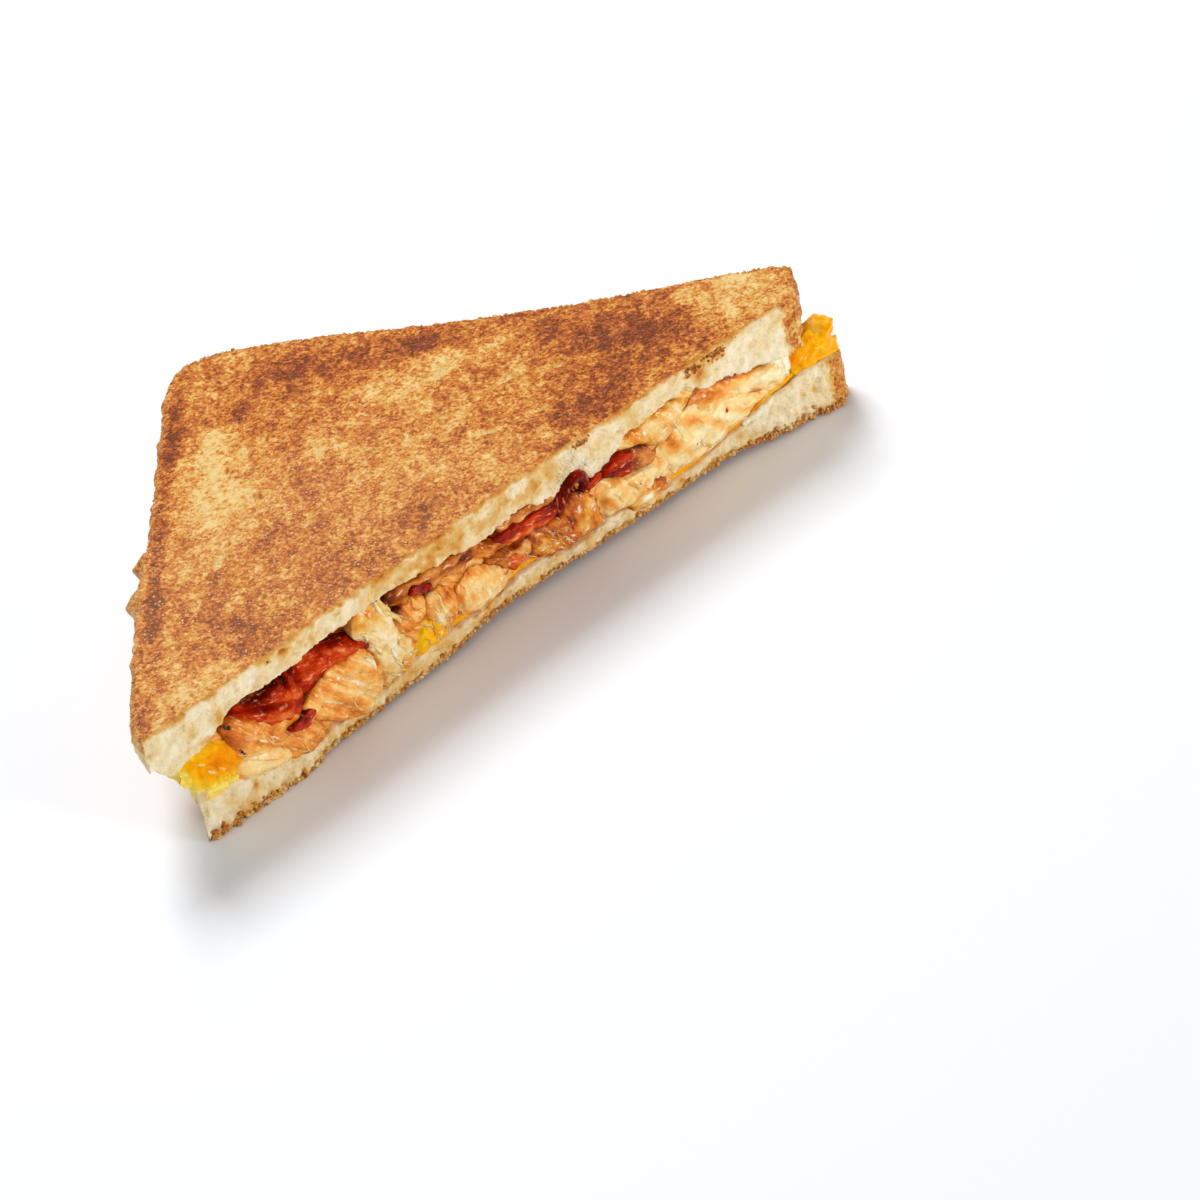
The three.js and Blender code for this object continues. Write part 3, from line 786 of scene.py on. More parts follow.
def brown(mesh, points, crumb, side, on_face, from_face, from_end, griddled_up):
    """Paint how brown a slice is, where it is crumb, and the painted sheen on its griddled face.

    The edge of the griddled face is singed where the cut meets it, and the crumb ends in crust.
    """
    x, y, z = points.T
    flat = points * (1, 1, 0.35)
    if griddled_up:
        toast = griddled(points)
        crust_tone = 0.46
        pale_tip = smooth((-72 - x) / 3) * smooth((24.5 - z) / 2)
        ragged = np.clip(0.55 + 1.3 * field(flat, 3.2, 15, 3), 0.16, 2.6)
        singed = 0.56 * np.exp(-((from_face / ragged) ** 1.5))
    else:
        toast = 0.62 + 0.16 * field(points, 6, 11, 3)
        crust_tone = 0.4
        pale_tip = smooth((-63 - x) / 5)
        thick = 1.3 + 0.8 * (1 - smooth((x + 52) / 12))
        ragged = thick * np.clip(0.95 + 1.3 * field(flat, 1.8, 15, 3), 0.25, 2.4)
        singed = 0.44 * np.exp(-((from_face / ragged) ** 2))
    crust = crust_tone + 0.12 * field(points, 5, 13, 3)
    skin = crust * (1 - pale_tip) + 0.12 * pale_tip - 0.03 * flange(points)
    outside = np.where(side > 0.5, skin, toast * on_face + 0.1 * (1 - on_face))
    # The crumb's stains, with painted shade in some of the patches
    stains_and_shade = patched(x, z, CRUMB_STAINS_AND_SHADE) * (1 + 0.8 * field(points, 3.0, 18, 3))
    cut_tone = np.maximum(singed, 0.08 + 0.07 * field(points, 4, 17, 2) + stains_and_shade)
    ends = np.clip(1 - (from_end - 1.9 + 0.6 * field(points, 1.5, 14, 2)) / 1.2, 0, 1)
    cut_tone = cut_tone * (1 - ends) + crust * ends
    paint(mesh, "toast", np.clip(outside * (1 - crumb) + cut_tone * crumb, 0, 1.1))
    inner = (1 - on_face) * (1 - side) * (1 - crumb)
    paint(mesh, "crumb", np.clip(crumb * (1 - ends) + inner + side * pale_tip, 0, 1))
    # Painted sheen on the griddled face, strongest near the cut at the left
    sheen_share = 0.2 + 0.75 * smooth((30 - x) / 50) * smooth((-28 - y) / 26)
    paint(mesh, "oily", sheen_share * on_face)


def roughen(mesh, points, crumb, side, on_face, griddled_up):
    """Grain and pits on the faces, torn crumb at the cut, lumps and the flange on the crust."""
    x, y, z = points.T
    face = (1 - crumb) * (1 - side)
    grain = 0.14 * field(points, 2.4, 19, 2) + 0.1 * field(points, 1.1, 23)
    torn = 0.5 * field(points, 2.0, 29, 3) + 0.3 * field(points, 0.8, 31)
    holes = np.clip(0.45 - pits(points, 2.2, 37), 0, 1)
    lumps = 0.4 * field(points, 3.0, 41, 2) + 0.42 * field(points, 1.3, 43)
    if griddled_up:
        lumps += flange(points) * np.exp(-(((z - FLANGE_HEIGHT) / 2.4) ** 2))
    push = grain * face + torn * crumb - 0.9 * holes * crumb + lumps * side
    push -= 0.5 * np.clip(0.28 - pits(points, 3.4, 47), 0, 1) * face
    if griddled_up:
        push += patched(x, y, [(*hole, HOLE_PUSH) for hole in TOAST_HOLES]) * on_face
    points = push_out(mesh, push)
    points[:, 2] = np.clip(points[:, 2], FLOOR_GAP, HEIGHT + GRAIN_RISE)
    set_points(mesh, points)


def toasted_slice(name, slice_name, low, high, griddled_up, rows):
    """A slice of bread with its griddled face up or down."""
    mesh = Layer(name, slice_name, low, high, rows=rows).build()
    points = get_points(mesh)
    x, y, z = points.T
    crumb = painted(mesh, "crumb")
    side = painted(mesh, "side")
    under = painted(mesh, "under")
    on_face = (1 - under) if griddled_up else under
    from_face = np.maximum((high(x, y) - z) if griddled_up else (z - low(x, y)), 0)
    p, _ = from_sides(x, y)
    from_end = SLICES[slice_name]["slip"] + BREAD_SIDE - p
    brown(mesh, points, crumb, side, on_face, from_face, from_end, griddled_up)
    roughen(mesh, points, crumb, side, on_face, griddled_up)
    return mesh


bread_top = toasted_slice(
    "toasted_top_slice", "top", top_crumb, toasted_top, griddled_up=True, rows=(160, 24, 14),
)
finish_piece(bread_top, BREAD, ["bread_top"])
bread_low = toasted_slice(
    "toasted_bottom_slice", "bottom", underside, bottom_crumb, griddled_up=False, rows=(30, 24, 60),
)
finish_piece(bread_low, BREAD, ["bread_bottom"])


# Melted cheese slices and the filling between them
def level_fibres(points):
    """The place across and along fibres that lean to the right, as paint_meat takes them."""
    return points[:, 0] * 0.7 + points[:, 2], points[:, 2] - points[:, 0] * 0.7


def melt_layer(name, slice_name, low, high, material, slot, node, tone, **insets):
    """A thin slice of melted cheese between two heights."""
    mesh = Layer(
        name, slice_name, low, high, columns=260, rows=(24, 10, 24), round_high=0.5, round_low=0.4,
        swell=0.3, **insets,
    ).build()
    points = push_out(mesh, 0.2 * field(get_points(mesh), 2.5, 53, 2))
    paint_meat(mesh, tone(points), *level_fibres(points))
    finish_piece(mesh, material, [node])


def cheddar_top(x, y):
    """The cheddar's upper face. It is thicker where it runs out at the left."""
    left_run = 6 * (1 - smooth((x + 62) / 6)) * near_cut(x, y, 9)
    return bottom_crumb(x, y) + 1.1 + left_run


def drips(base, swing, seed):
    """An inset that wanders along the side, as melted cheese does."""

    def inset(places):
        flat = np.column_stack([places, np.zeros(len(places))])
        return base + swing * field(flat, 7, seed, 2)

    return inset


melt_layer(
    "cheddar_sheet", "bottom", lambda x, y: bottom_crumb(x, y) + 0.1, cheddar_top,
    CHEDDAR, "cheddar", "cheddar_slice", lambda points: 0.5 + 0.2 * field(points, 6, 59, 2),
    side_inset=drips(1.6, 2.2, 61), cut_inset=lambda x, z: 1.0, tip_trim=3.0,
)
melt_layer(
    "pale_sheet", "top", lambda x, y: top_crumb(x, y) - 1.0, lambda x, y: top_crumb(x, y) - 0.05,
    MELT, "pale_cheese", "pale_cheese_slice", lambda points: 0.35 + 0.15 * field(points, 6, 67, 2),
    side_inset=drips(2.4, 2.4, 71), cut_inset=lambda x, z: 1.4, tip_trim=8.0,
)


def between_x(x, low, high, soft):
    """1 between low and high, 0 outside, with soft edges."""
    return smooth((x - low) / soft + 0.5) * smooth((high - x) / soft + 0.5)


def behind_bacon(x, z):
    """1 where bacon lies deep under the top slice, 0 elsewhere."""
    left = between_x(x, -60, -31, 4) * smooth((z - 13) / 3)
    middle = between_x(x, -27, 14, 4) * smooth((z - 14) / 3)
    return np.maximum(left, 0.6 * middle)


def filling_mass():
    """The filling behind the pieces at the cut, with painted shade where it lies deep under the top
    slice behind bacon.
    """
    mesh = Layer(
        "chicken_mass", "top", lambda x, y: bottom_crumb(x, y) + 0.6,
        lambda x, y: top_crumb(x, y) - 0.6, columns=300, rows=(24, 26, 24), round_high=2.0,
        round_low=2.0, swell=0.8, side_inset=drips(5.0, 2.0, 73),
        cut_inset=lambda x, z: 1.0 + 2.2 * behind_bacon(x, z), tip_trim=12.0,
    ).build()
    points = get_points(mesh)
    points = push_out(mesh, 0.8 * field(points, 5, 79, 2) + 0.35 * field(points, 1.6, 83, 2))
    x, y, z = points.T
    near = near_cut(x, y, 14)
    # Painted shade where the mass lies deep under the top slice behind the bacon
    dark = behind_bacon(x, z) * near
    pale = smooth((x - 14) / 8) * near
    tone = 0.56 + 0.3 * dark - 0.28 * pale - 0.2 * (1 - near) + 0.22 * field(points, 4, 89, 2)
    paint_meat(mesh, tone, *level_fibres(points))
    finish_piece(mesh, CHICKEN, ["chicken_filling"])


filling_mass()


# Pieces of the filling that show at the cut

# How far x and z move, straight away from the eye, for each millimetre behind the cut
LOOK_ALONG = (0.845, -0.936)


def morsel(name, outline, material, nodes=(), recess=0.6, bulge=1.6, depth=5.0, lean=0.0,
           tilt=0.0, tone=0.5, rim_tone=0.12, patches=(), forms=(), turn=-45,
           fibres=0.2, lumps=0.3, ragged=1.0, feather=False, wet=(), strands_share=1.0,
           detail=(132, 32, 10), seed=1):
    """A bite of filling with a closed outline of (along the cut, height) points.

    It is domed towards the eye and runs back into the half. Its fibres run at turn degrees.
    A feathered one thins out towards its rim and sinks into its neighbours, as melted cheese does.
    Patches change its tone, forms its surface, and painted highlights pale its colour at the
    listed marks. Each is a middle, half widths, a turn in degrees and an amount.
    """
    columns, front_rows, back_rows = detail
    rim = spaced(rounded(outline, True), columns, True)
    heart = rim[:-1].mean(0)
    torn = np.column_stack([rim, np.zeros(len(rim))])
    wave = 0.05 + 0.12 * field(torn, 2.4, seed + 17, 3) + 0.05 * field(torn, 0.8, seed + 19)
    rim = heart + (rim - heart) * (1 + ragged * wave)[:, None]
    rows = front_rows + back_rows
    mesh, column, row = new_grid(name, columns, rows)
    share = np.clip(row / front_rows, 0, 1)
    swing = np.sin(0.5 * np.pi * share)
    dome = np.clip(1 - swing ** 3, 0, 1) if feather else np.sqrt(np.clip(1 - swing ** 4, 0, 1))
    back = np.clip((row - front_rows) / back_rows, 0, 1)
    closing = smooth((back - 0.7) / 0.3)
    spread = swing * (1 - closing) * (1 - 0.12 * back)
    flat = heart + (rim[column] - heart) * spread[:, None]
    behind = recess - 0.65 * bulge * dome + depth * back + tilt * (flat[:, 1] - heart[1])
    x = flat[:, 0] + LOOK_ALONG[0] * recess + lean * depth * back
    z = flat[:, 1] + LOOK_ALONG[1] * recess
    y = cut_face(flat[:, 0], flat[:, 1]) + behind
    set_points(mesh, np.stack([x, y, z], 1))
    paint(mesh, "rim", smooth((swing - 0.72) / 0.28))
    weld(mesh)
    points = get_points(mesh)
    at_rim = painted(mesh, "rim")
    cosine = math.cos(math.radians(turn))
    sine = math.sin(math.radians(turn))
    along = points[:, 0] * cosine + points[:, 2] * sine
    across = -points[:, 0] * sine + points[:, 2] * cosine
    strands = np.stack([across, along * 0.16, points[:, 1] * 0.5], 1)
    push = lumps * field(points, 3.2, seed, 2) + 0.5 * lumps * field(points, 1.2, seed + 5)
    push += 0.6 * fibres * field(strands, 0.9, seed + 9)
    folds = np.clip(0.22 - np.abs(field(points + strands, 2.6, seed + 11)), 0, 1)
    push -= 3.2 * ragged ** 2 * min(lumps, 0.3) * folds
    push += patched(points[:, 0], points[:, 2], forms)
    points = push_out(mesh, push)
    value = tone + patched(points[:, 0], points[:, 2], patches)
    value += 0.12 * field(points, 2.5, seed + 13, 2)
    value += rim_tone * at_rim * (1 + field(points, 1.8, seed + 15))
    # Darker where the surface is pressed in, paler where it bulges out
    value -= 0.16 * push
    deep = np.maximum(points[:, 1] - cut_face(points[:, 0], points[:, 2]) - 2, 0)
    paint_meat(mesh, np.clip(value, 0, 1), across + 0.8 * deep, along - deep, strands_share)
    # Painted highlights: pale marks at the listed places, broken up by noise
    shine = patched(points[:, 0], points[:, 2], wet) * (1 + 1.6 * field(points, 0.9, seed + 21, 2))
    paint(mesh, "wet", 0.8 * smooth((shine - 0.35) / 0.35))
    return finish_piece(mesh, material, nodes)


morsel(
    "cheddar_run",
    [(-71.5, 17), (-66.5, 18.6), (-62, 16.6), (-58.4, 13), (-55.6, 10.4), (-59, 8.4), (-64, 8.6),
     (-68.6, 9.4), (-70.6, 13)],
    CHEDDAR, recess=0.9, bulge=2.4, tone=0.56, rim_tone=-0.24, feather=True, fibres=0.1,
    lumps=0.35, seed=101,
    patches=[(-63, 14, 4, 2.5, -40, 0.25), (-69.4, 12.6, 1.4, 3.4, 20, -0.4),
             (-65, 9.6, 5, 1.0, 0, -0.35), (-67.5, 16.6, 2, 0.8, 0, -0.2)],
    forms=[(-64.6, 12.2, 1.6, 0.5, -50, 0.4), (-66.4, 11, 0.8, 1.6, 0, 0.3)],
    wet=[(-65.4, 12.6, 1.2, 0.3, -50, 0.8), (-63.4, 12, 0.8, 0.25, -50, 0.8),
         (-66.8, 15, 1, 0.25, -30, 0.7)],
)
morsel(
    "cheddar_smear",
    [(-68.8, 11), (-64, 10.4), (-59, 10), (-59.6, 8.6), (-62.6, 7.4), (-65, 7.8), (-66.6, 6.6),
     (-68.6, 7.8)],
    CHEDDAR, recess=0.8, bulge=1.6, depth=3, tone=0.12, rim_tone=-0.1, fibres=0.1,
    lumps=0.6, detail=(100, 22, 8), feather=True, seed=171,
)
morsel(
    "chicken_left",
    [(-62.5, 18.4), (-60.5, 13), (-58.5, 9.5), (-54, 7), (-49, 4), (-44, 2.8), (-42, 4.5),
     (-43, 8.5), (-46, 12.5), (-50, 14.6), (-56, 16.5), (-60, 19.4)],
    CHICKEN, ["chicken_1"], recess=0.3, bulge=1.5, tone=0.61, turn=-48, fibres=0.25,
    lumps=0.3, ragged=0.45, strands_share=0.7, seed=103,
    patches=[(-57, 9, 4, 2.5, -20, -0.5), (-52, 11, 5, 1.5, -45, 0.1), (-46, 6, 3, 2, -45, -0.1),
             (-61, 16, 2, 3, -50, 0.04)],
    forms=[(-53, 9, 6, 0.7, -48, -0.5), (-49, 8.6, 6, 0.6, -48, -0.4), (-56, 13, 5, 1, -45, 0.4)],
    wet=[(-55.6, 12.6, 1.4, 0.22, -48, 0.7), (-53, 11.4, 1.4, 0.22, -48, 0.7),
         (-50.6, 12, 1.2, 0.22, -48, 0.6), (-48, 7.4, 1.6, 0.25, -48, 0.5),
         (-57.4, 14.4, 1, 0.2, -48, 0.6)],
)
morsel(
    "chicken_left_fat",
    [(-61, 12), (-57.4, 11.4), (-53, 9.6), (-49.6, 6.8), (-50.4, 4.8), (-54.5, 5), (-59, 6.2),
     (-61.4, 8.6)],
    CHICKEN, recess=0.2, bulge=2.0, tone=0.22, rim_tone=0.3, turn=-20, fibres=0.1,
    lumps=0.2, ragged=0.5, feather=True, strands_share=0.4, seed=105,
)
morsel(
    "bacon_left_fold",
    [(-59.8, 18.6), (-58, 20.6), (-55.5, 22), (-50, 21.6), (-47, 21.6), (-46, 18), (-46.6, 15.4),
     (-48.4, 14.1), (-51, 14), (-54, 15), (-57.4, 16.8)],
    BACON, ["bacon_left"], recess=1.8, bulge=1.9, depth=8, lean=0.5, tilt=0.4, tone=0.54,
    turn=-20, fibres=0.12, lumps=0.5, ragged=0.5, seed=107,
    # Painted shade: (-52, 18.8) in the hollow under the top slice and (-47.4, 19) in the crease;
    # painted highlights: (-49, 14.6) and (-54, 15.4) along the lower edge
    patches=[(-52, 18.8, 4, 2, 0, 0.28), (-49, 14.6, 4, 0.8, 10, -0.04),
             (-58, 18, 1.5, 1.5, 0, -0.2), (-54, 15.4, 4, 0.7, -20, -0.1),
             (-47.4, 19, 0.5, 2.6, 0, 0.4)],
    forms=[(-53.6, 15.6, 6, 1.1, -22, 0.9), (-48.6, 15, 3, 1, 20, 0.7),
           (-52, 19.4, 4, 1.6, 0, -1.0), (-47.4, 19, 0.5, 3, 0, -0.8), (-57, 19, 1.4, 1.6, 0, 0.5)],
    wet=[(-54, 16.4, 1.6, 0.18, -22, 0.8), (-50, 15.4, 1.4, 0.16, 0, 0.8),
         (-55.5, 20, 0.8, 0.2, 20, 0.6), (-50.5, 17.6, 0.7, 0.14, -10, 0.6),
         (-57.6, 18.4, 0.5, 0.2, 0, 0.6)],
)
morsel(
    "bacon_left_flap",
    [(-47.6, 21.4), (-44.5, 21.9), (-40, 21.6), (-36, 20.4), (-33, 18.2), (-30.2, 15.8),
     (-31.5, 15.2), (-36, 15.6), (-40, 15.4), (-44, 15.2), (-47.4, 15.6), (-47.8, 18)],
    BACON, recess=1.7, bulge=1.7, depth=8, lean=0.5, tilt=0.3, tone=0.6, turn=-12,
    fibres=0.12, lumps=0.35, ragged=0.5, seed=109,
    # Painted shade: (-46.6, 20) at the crease and (-38, 21) along the top edge under the top slice;
    # painted highlights: (-41, 15.8) and (-34, 16) along the lower edge
    patches=[(-40, 19, 7, 2, -8, -0.06), (-34, 16, 3, 1, -30, -0.1), (-41, 15.8, 6, 0.6, 0, -0.08),
             (-46.6, 20, 1, 2, 0, 0.3), (-38, 21, 6, 0.7, -8, 0.14)],
    forms=[(-42, 16.4, 6, 1, -4, 0.8), (-35, 16.6, 4, 1, -35, 0.6), (-39, 19.4, 6, 1.2, -8, -0.7),
           (-44, 18, 0.7, 3, 20, 0.4), (-40, 18, 0.6, 3, 30, 0.4)],
    wet=[(-43.4, 16.8, 1.2, 0.25, 0, 0.8), (-40, 15.9, 0.9, 0.2, 0, 0.8),
         (-36, 17.2, 1.2, 0.22, -30, 0.7), (-41, 19.2, 1.4, 0.2, -10, 0.5),
         (-33.6, 16.6, 1, 0.2, -35, 0.6)],
)
morsel(
    "bacon_crumb",
    [(-50, 10.4), (-47, 10.8), (-44.6, 11.6), (-43.2, 10.6), (-43.6, 9), (-45.6, 7.8), (-47.6, 8.8)],
    BACON, ["bacon_bit"], recess=-1.0, bulge=0.9, depth=2.5, tone=0.62, turn=0,
    fibres=0.08, lumps=0.25, detail=(80, 18, 8), ragged=0.5, seed=111,
    wet=[(-45, 10.2, 0.8, 0.3, 30, 0.9), (-47.6, 9.8, 0.5, 0.25, 0, 0.6)],
)
morsel(
    "chicken_strips",
    [(-46.5, 12.6), (-43, 14.4), (-38, 15), (-32.2, 15.2), (-30.4, 12), (-28.4, 7.5), (-29.5, 3.6),
     (-33, 1.6), (-37, 3), (-41, 5.6), (-44.6, 9)],
    CHICKEN, ["chicken_2"], recess=-0.1, bulge=1.9, tone=0.4, turn=-48, fibres=0.3,
    lumps=0.3, ragged=0.5, strands_share=0.8, seed=113,
    patches=[(-36, 4, 3, 1.2, -40, 0.2), (-40, 13.5, 6, 1, 5, 0.16), (-33, 12, 3, 2, 0, -0.15),
             (-38, 9, 6, 0.6, -48, 0.2), (-33, 6, 6, 0.8, -48, -0.2)],
    forms=[(-37, 5.4, 5, 0.6, -48, -0.7), (-41, 9, 6, 0.5, -48, -0.5),
           (-34.6, 8, 6, 0.6, -48, -0.4), (-38, 10.6, 5, 0.9, -48, 0.4)],
    wet=[(-37.8, 12.8, 1.2, 0.4, -45, 0.7), (-35, 10.4, 2, 0.3, -48, 0.6),
         (-38.4, 8, 2, 0.3, -48, 0.5), (-33.4, 8.4, 2.4, 0.3, -48, 0.6),
         (-41.4, 10.6, 1.6, 0.3, -48, 0.4)],
)
morsel(
    "white_melt_run",
    [(-33.6, 20.6), (-30, 22), (-26.4, 21), (-24.6, 16.4), (-22, 10), (-20.4, 6.4), (-22.4, 4),
     (-27, 3.6), (-29.4, 6), (-29.6, 10), (-31, 14), (-32.6, 17)],
    MELT, ["white_melt"], recess=0.8, bulge=2.0, tone=0.34, turn=-60, fibres=0.1,
    lumps=0.45, ragged=0.6, feather=True, strands_share=0.4, seed=115,
    patches=[(-23, 5, 2, 1.5, 0, 0.35), (-31, 19.4, 3.5, 2.4, 0, 0.2),
             (-26.6, 13, 1.6, 4, 25, -0.2), (-29, 8, 1.4, 3, 20, 0.2)],
)
morsel(
    "yellow_melt",
    [(-20, 11), (-17, 12.2), (-14.5, 11), (-13.4, 8.4), (-14.4, 5.4), (-19, 4.6), (-22, 5.6),
     (-21.4, 8.6)],
    CHEDDAR, recess=1.0, bulge=2.0, tone=0.42, rim_tone=0.0, turn=-60, fibres=0.08,
    lumps=0.35, ragged=0.6, feather=True, seed=117,
    patches=[(-15.5, 8, 1.6, 2, 0, 0.1)],
    wet=[(-17.4, 9.4, 0.3, 1.2, 20, 0.8), (-15.4, 7, 0.3, 1, 10, 0.8)],
)
morsel(
    "tan_lump_a",
    [(-25.6, 16.6), (-22, 18), (-18.6, 17.4), (-17, 14.8), (-18.4, 12), (-22, 11.2), (-25, 13)],
    CHICKEN, recess=0.6, bulge=1.5, tone=0.55, turn=-60, lumps=0.35, ragged=0.7, seed=119,
    patches=[(-24, 16, 2, 1.5, 0, 0.25), (-20, 14, 1.5, 1.5, 0, -0.25)],
)
morsel(
    "tan_lump_b",
    [(-18.4, 15), (-15.4, 16.6), (-12.4, 14.8), (-11, 11), (-11.4, 7.6), (-13.8, 6.8), (-16, 9.4),
     (-18, 12)],
    CHICKEN, ["chicken_3"], recess=0.3, bulge=1.6, tone=0.42, turn=-65, lumps=0.35,
    ragged=0.7, seed=121,
    patches=[(-13, 14, 1.4, 1.6, 0, 0.3), (-15, 10, 1.5, 2.5, 0, -0.3), (-12, 9, 1, 2, 0, 0.1)],
)
morsel(
    "bacon_brown_strip",
    [(-27, 19.6), (-24.5, 21.8), (-20, 21.6), (-15, 20.8), (-9, 20), (-4.6, 19.4), (-5.6, 17.2),
     (-9, 16.2), (-14, 17.2), (-19, 17.6), (-24, 18)],
    FAT, ["bacon_brown"], recess=1.2, bulge=1.3, depth=8, tone=0.5, turn=-8, fibres=0.14,
    lumps=0.7, ragged=0.5, seed=123,
    # Painted shade: (-8, 17.4) darkens the pressed-in gap
    patches=[(-24.6, 20, 2, 1.4, 0, 0.4), (-18.4, 18.6, 2.4, 1, 0, 0.3),
             (-8, 17.4, 1.6, 1, 0, 0.45), (-15, 20.4, 8, 0.8, -4, -0.1)],
    forms=[(-15, 19.6, 9, 0.8, -6, 0.5), (-8, 17.6, 1.4, 0.9, 0, -0.8)],
    wet=[(-22.4, 19.8, 0.9, 0.2, 10, 0.8), (-17, 19.2, 1, 0.2, -5, 0.8),
         (-12, 18.6, 0.9, 0.2, -8, 0.8), (-7.6, 18.4, 0.6, 0.2, 0, 0.8),
         (-19.6, 20.6, 0.8, 0.18, 0, 0.6)],
)
morsel(
    "bacon_brown_bits",
    [(-21.2, 18.8), (-19.6, 19.7), (-17.6, 19.2), (-15.6, 17.5), (-15.8, 16.2), (-17.8, 16.9),
     (-19.2, 17.9)],
    BACON, recess=0.2, bulge=0.8, depth=3, tone=0.72, turn=20, fibres=0.1, lumps=0.35,
    detail=(70, 14, 6), ragged=0.5, seed=125,
)
morsel(
    "chicken_smooth",
    [(-11.6, 11.8), (-9, 14.8), (-5.4, 14.6), (-2, 12.4), (1.8, 9.2), (2.4, 6.6), (-1, 5.2),
     (-6, 5.2), (-9.4, 6.2), (-10.8, 8.8)],
    CHICKEN, ["chicken_4"], recess=0.3, bulge=2.6, tone=0.24, strands_share=0.6,
    turn=-78, fibres=0.2, lumps=0.3, feather=True, ragged=0.4, seed=127,
    patches=[(-7, 14, 4, 1, -20, 0.35), (-5, 5.6, 5, 0.8, 0, 0.35), (0, 9, 3, 1, -40, 0.1),
             (-10, 11, 1, 3, 0, 0.2)],
    wet=[(-7.4, 11.6, 0.3, 1.6, 12, 0.7), (-4, 10.6, 0.3, 1.8, 12, 0.6),
         (-1, 8.6, 0.3, 1.2, 20, 0.6)],
)
morsel(
    "bacon_fat_fold",
    [(-3.4, 14.6), (-0.6, 13), (3, 12.6), (6.4, 12.4), (7.2, 10.4), (5.6, 8.6), (2, 9.2),
     (-0.4, 10.6), (-3, 12.8)],
    FAT, ["bacon_fat"], recess=0.1, bulge=1.3, depth=4, tone=0.38, turn=-40,
    fibres=0.15, lumps=0.5, ragged=0.5, seed=129,
    patches=[(2, 9.4, 3, 0.8, -20, 0.3), (4, 11, 2, 1, 0, -0.1)],
    wet=[(2, 11.4, 1.2, 0.3, -10, 0.8), (5, 10.4, 0.8, 0.25, -40, 0.7)],
)
morsel(
    "red_pepper",
    [(-0.8, 12.4), (1.4, 11.5), (3.4, 11.3), (4.6, 10.4), (5.8, 9.8), (5, 8.4), (3.8, 8.7),
     (3.1, 7.4), (2.2, 8.4), (0.8, 10)],
    BACON, ["pepper_bit"], recess=-0.6, bulge=0.6, depth=2.5, tone=0.3, turn=-60,
    fibres=0.15, lumps=0.3, detail=(70, 14, 6), ragged=0.5, seed=131,
    wet=[(2.2, 10.4, 0.8, 0.25, -20, 0.9), (4.4, 9.4, 0.4, 0.2, 0, 0.7)],
)
morsel(
    "bacon_middle_fat",
    [(-1.8, 17.6), (0.6, 19.6), (6, 20), (11, 19.6), (13, 17.8), (9.8, 16.6), (5, 17), (1, 16.8)],
    FAT, recess=0.8, bulge=1.2, depth=7, tone=0.5, turn=-4, fibres=0.15, lumps=0.6,
    ragged=0.5, seed=133,
    patches=[(8, 19.6, 5, 0.5, 0, 0.3), (-0.6, 18, 1.2, 1, 0, 0.5)],
    wet=[(3, 18.6, 1.2, 0.25, 10, 0.7), (8, 18.4, 1, 0.25, -10, 0.7)],
)
morsel(
    "bacon_middle_red",
    [(-2, 17), (1, 17.6), (5, 17.2), (9, 17.2), (13, 16.8), (13.6, 14.2), (11.4, 12.6), (8, 13.6),
     (4.4, 13.6), (1.2, 14.8)],
    BACON, ["bacon_middle"], recess=0.0, bulge=1.2, depth=6, tone=0.49, turn=-12,
    fibres=0.1, lumps=0.4, ragged=0.5, seed=135,
    # Painted highlight: (4, 14.6) pales the lower edge
    patches=[(4, 14.6, 5, 0.8, -8, -0.15), (11, 16, 2, 1.4, 0, 0.25), (1, 16, 3, 0.7, 0, 0.25)],
    wet=[(7, 15.8, 1.4, 0.28, -10, 0.9), (3.4, 15.4, 0.9, 0.24, 0, 0.8),
         (10.4, 15.2, 0.7, 0.24, -20, 0.7)],
)
morsel(
    "orange_melt_run",
    [(5.6, 13.4), (8.6, 13.8), (12, 12.8), (14.8, 12.6), (15.8, 9.6), (18.4, 6.4), (17.6, 4.8),
     (12, 5.6), (8.4, 6.6), (6, 9), (6.6, 11.4)],
    MELT, ["orange_melt"], recess=0.2, bulge=1.3, tone=0.7, turn=-50, fibres=0.2,
    lumps=0.45, seed=137,
    patches=[(10, 7, 3, 2, 0, -0.1), (12, 11, 3, 1.5, 0, 0.08), (9, 9, 1.5, 1.5, 0, -0.25)],
    wet=[(8.6, 12, 0.9, 0.25, -20, 0.9), (11, 10.6, 0.9, 0.3, -40, 0.9),
         (13.4, 9.6, 0.7, 0.25, 0, 0.9), (9.4, 8.4, 0.8, 0.25, 20, 0.8),
         (12.6, 7.6, 0.8, 0.25, -20, 0.8), (15.4, 7.4, 0.8, 0.25, -30, 0.8)],
)
morsel(
    "amber_melt_drop",
    [(14, 14.4), (17, 15), (20.2, 14), (21.4, 10.8), (22, 7.2), (23, 5.4), (18, 5.2), (16.4, 7.4),
     (15, 10.6)],
    MELT, ["amber_melt"], recess=0.2, bulge=1.5, tone=0.76, turn=-75, fibres=0.2,
    lumps=0.4, seed=139,
    patches=[(19.2, 11, 1.1, 3.4, 0, -0.4), (15.4, 11.6, 1, 3, 0, 0.15)],
    wet=[(17.2, 12.4, 0.3, 1.2, 0, 0.8), (20.4, 10.4, 0.3, 1.4, 10, 0.8),
         (18.6, 7, 0.7, 0.3, 0, 0.7)],
)
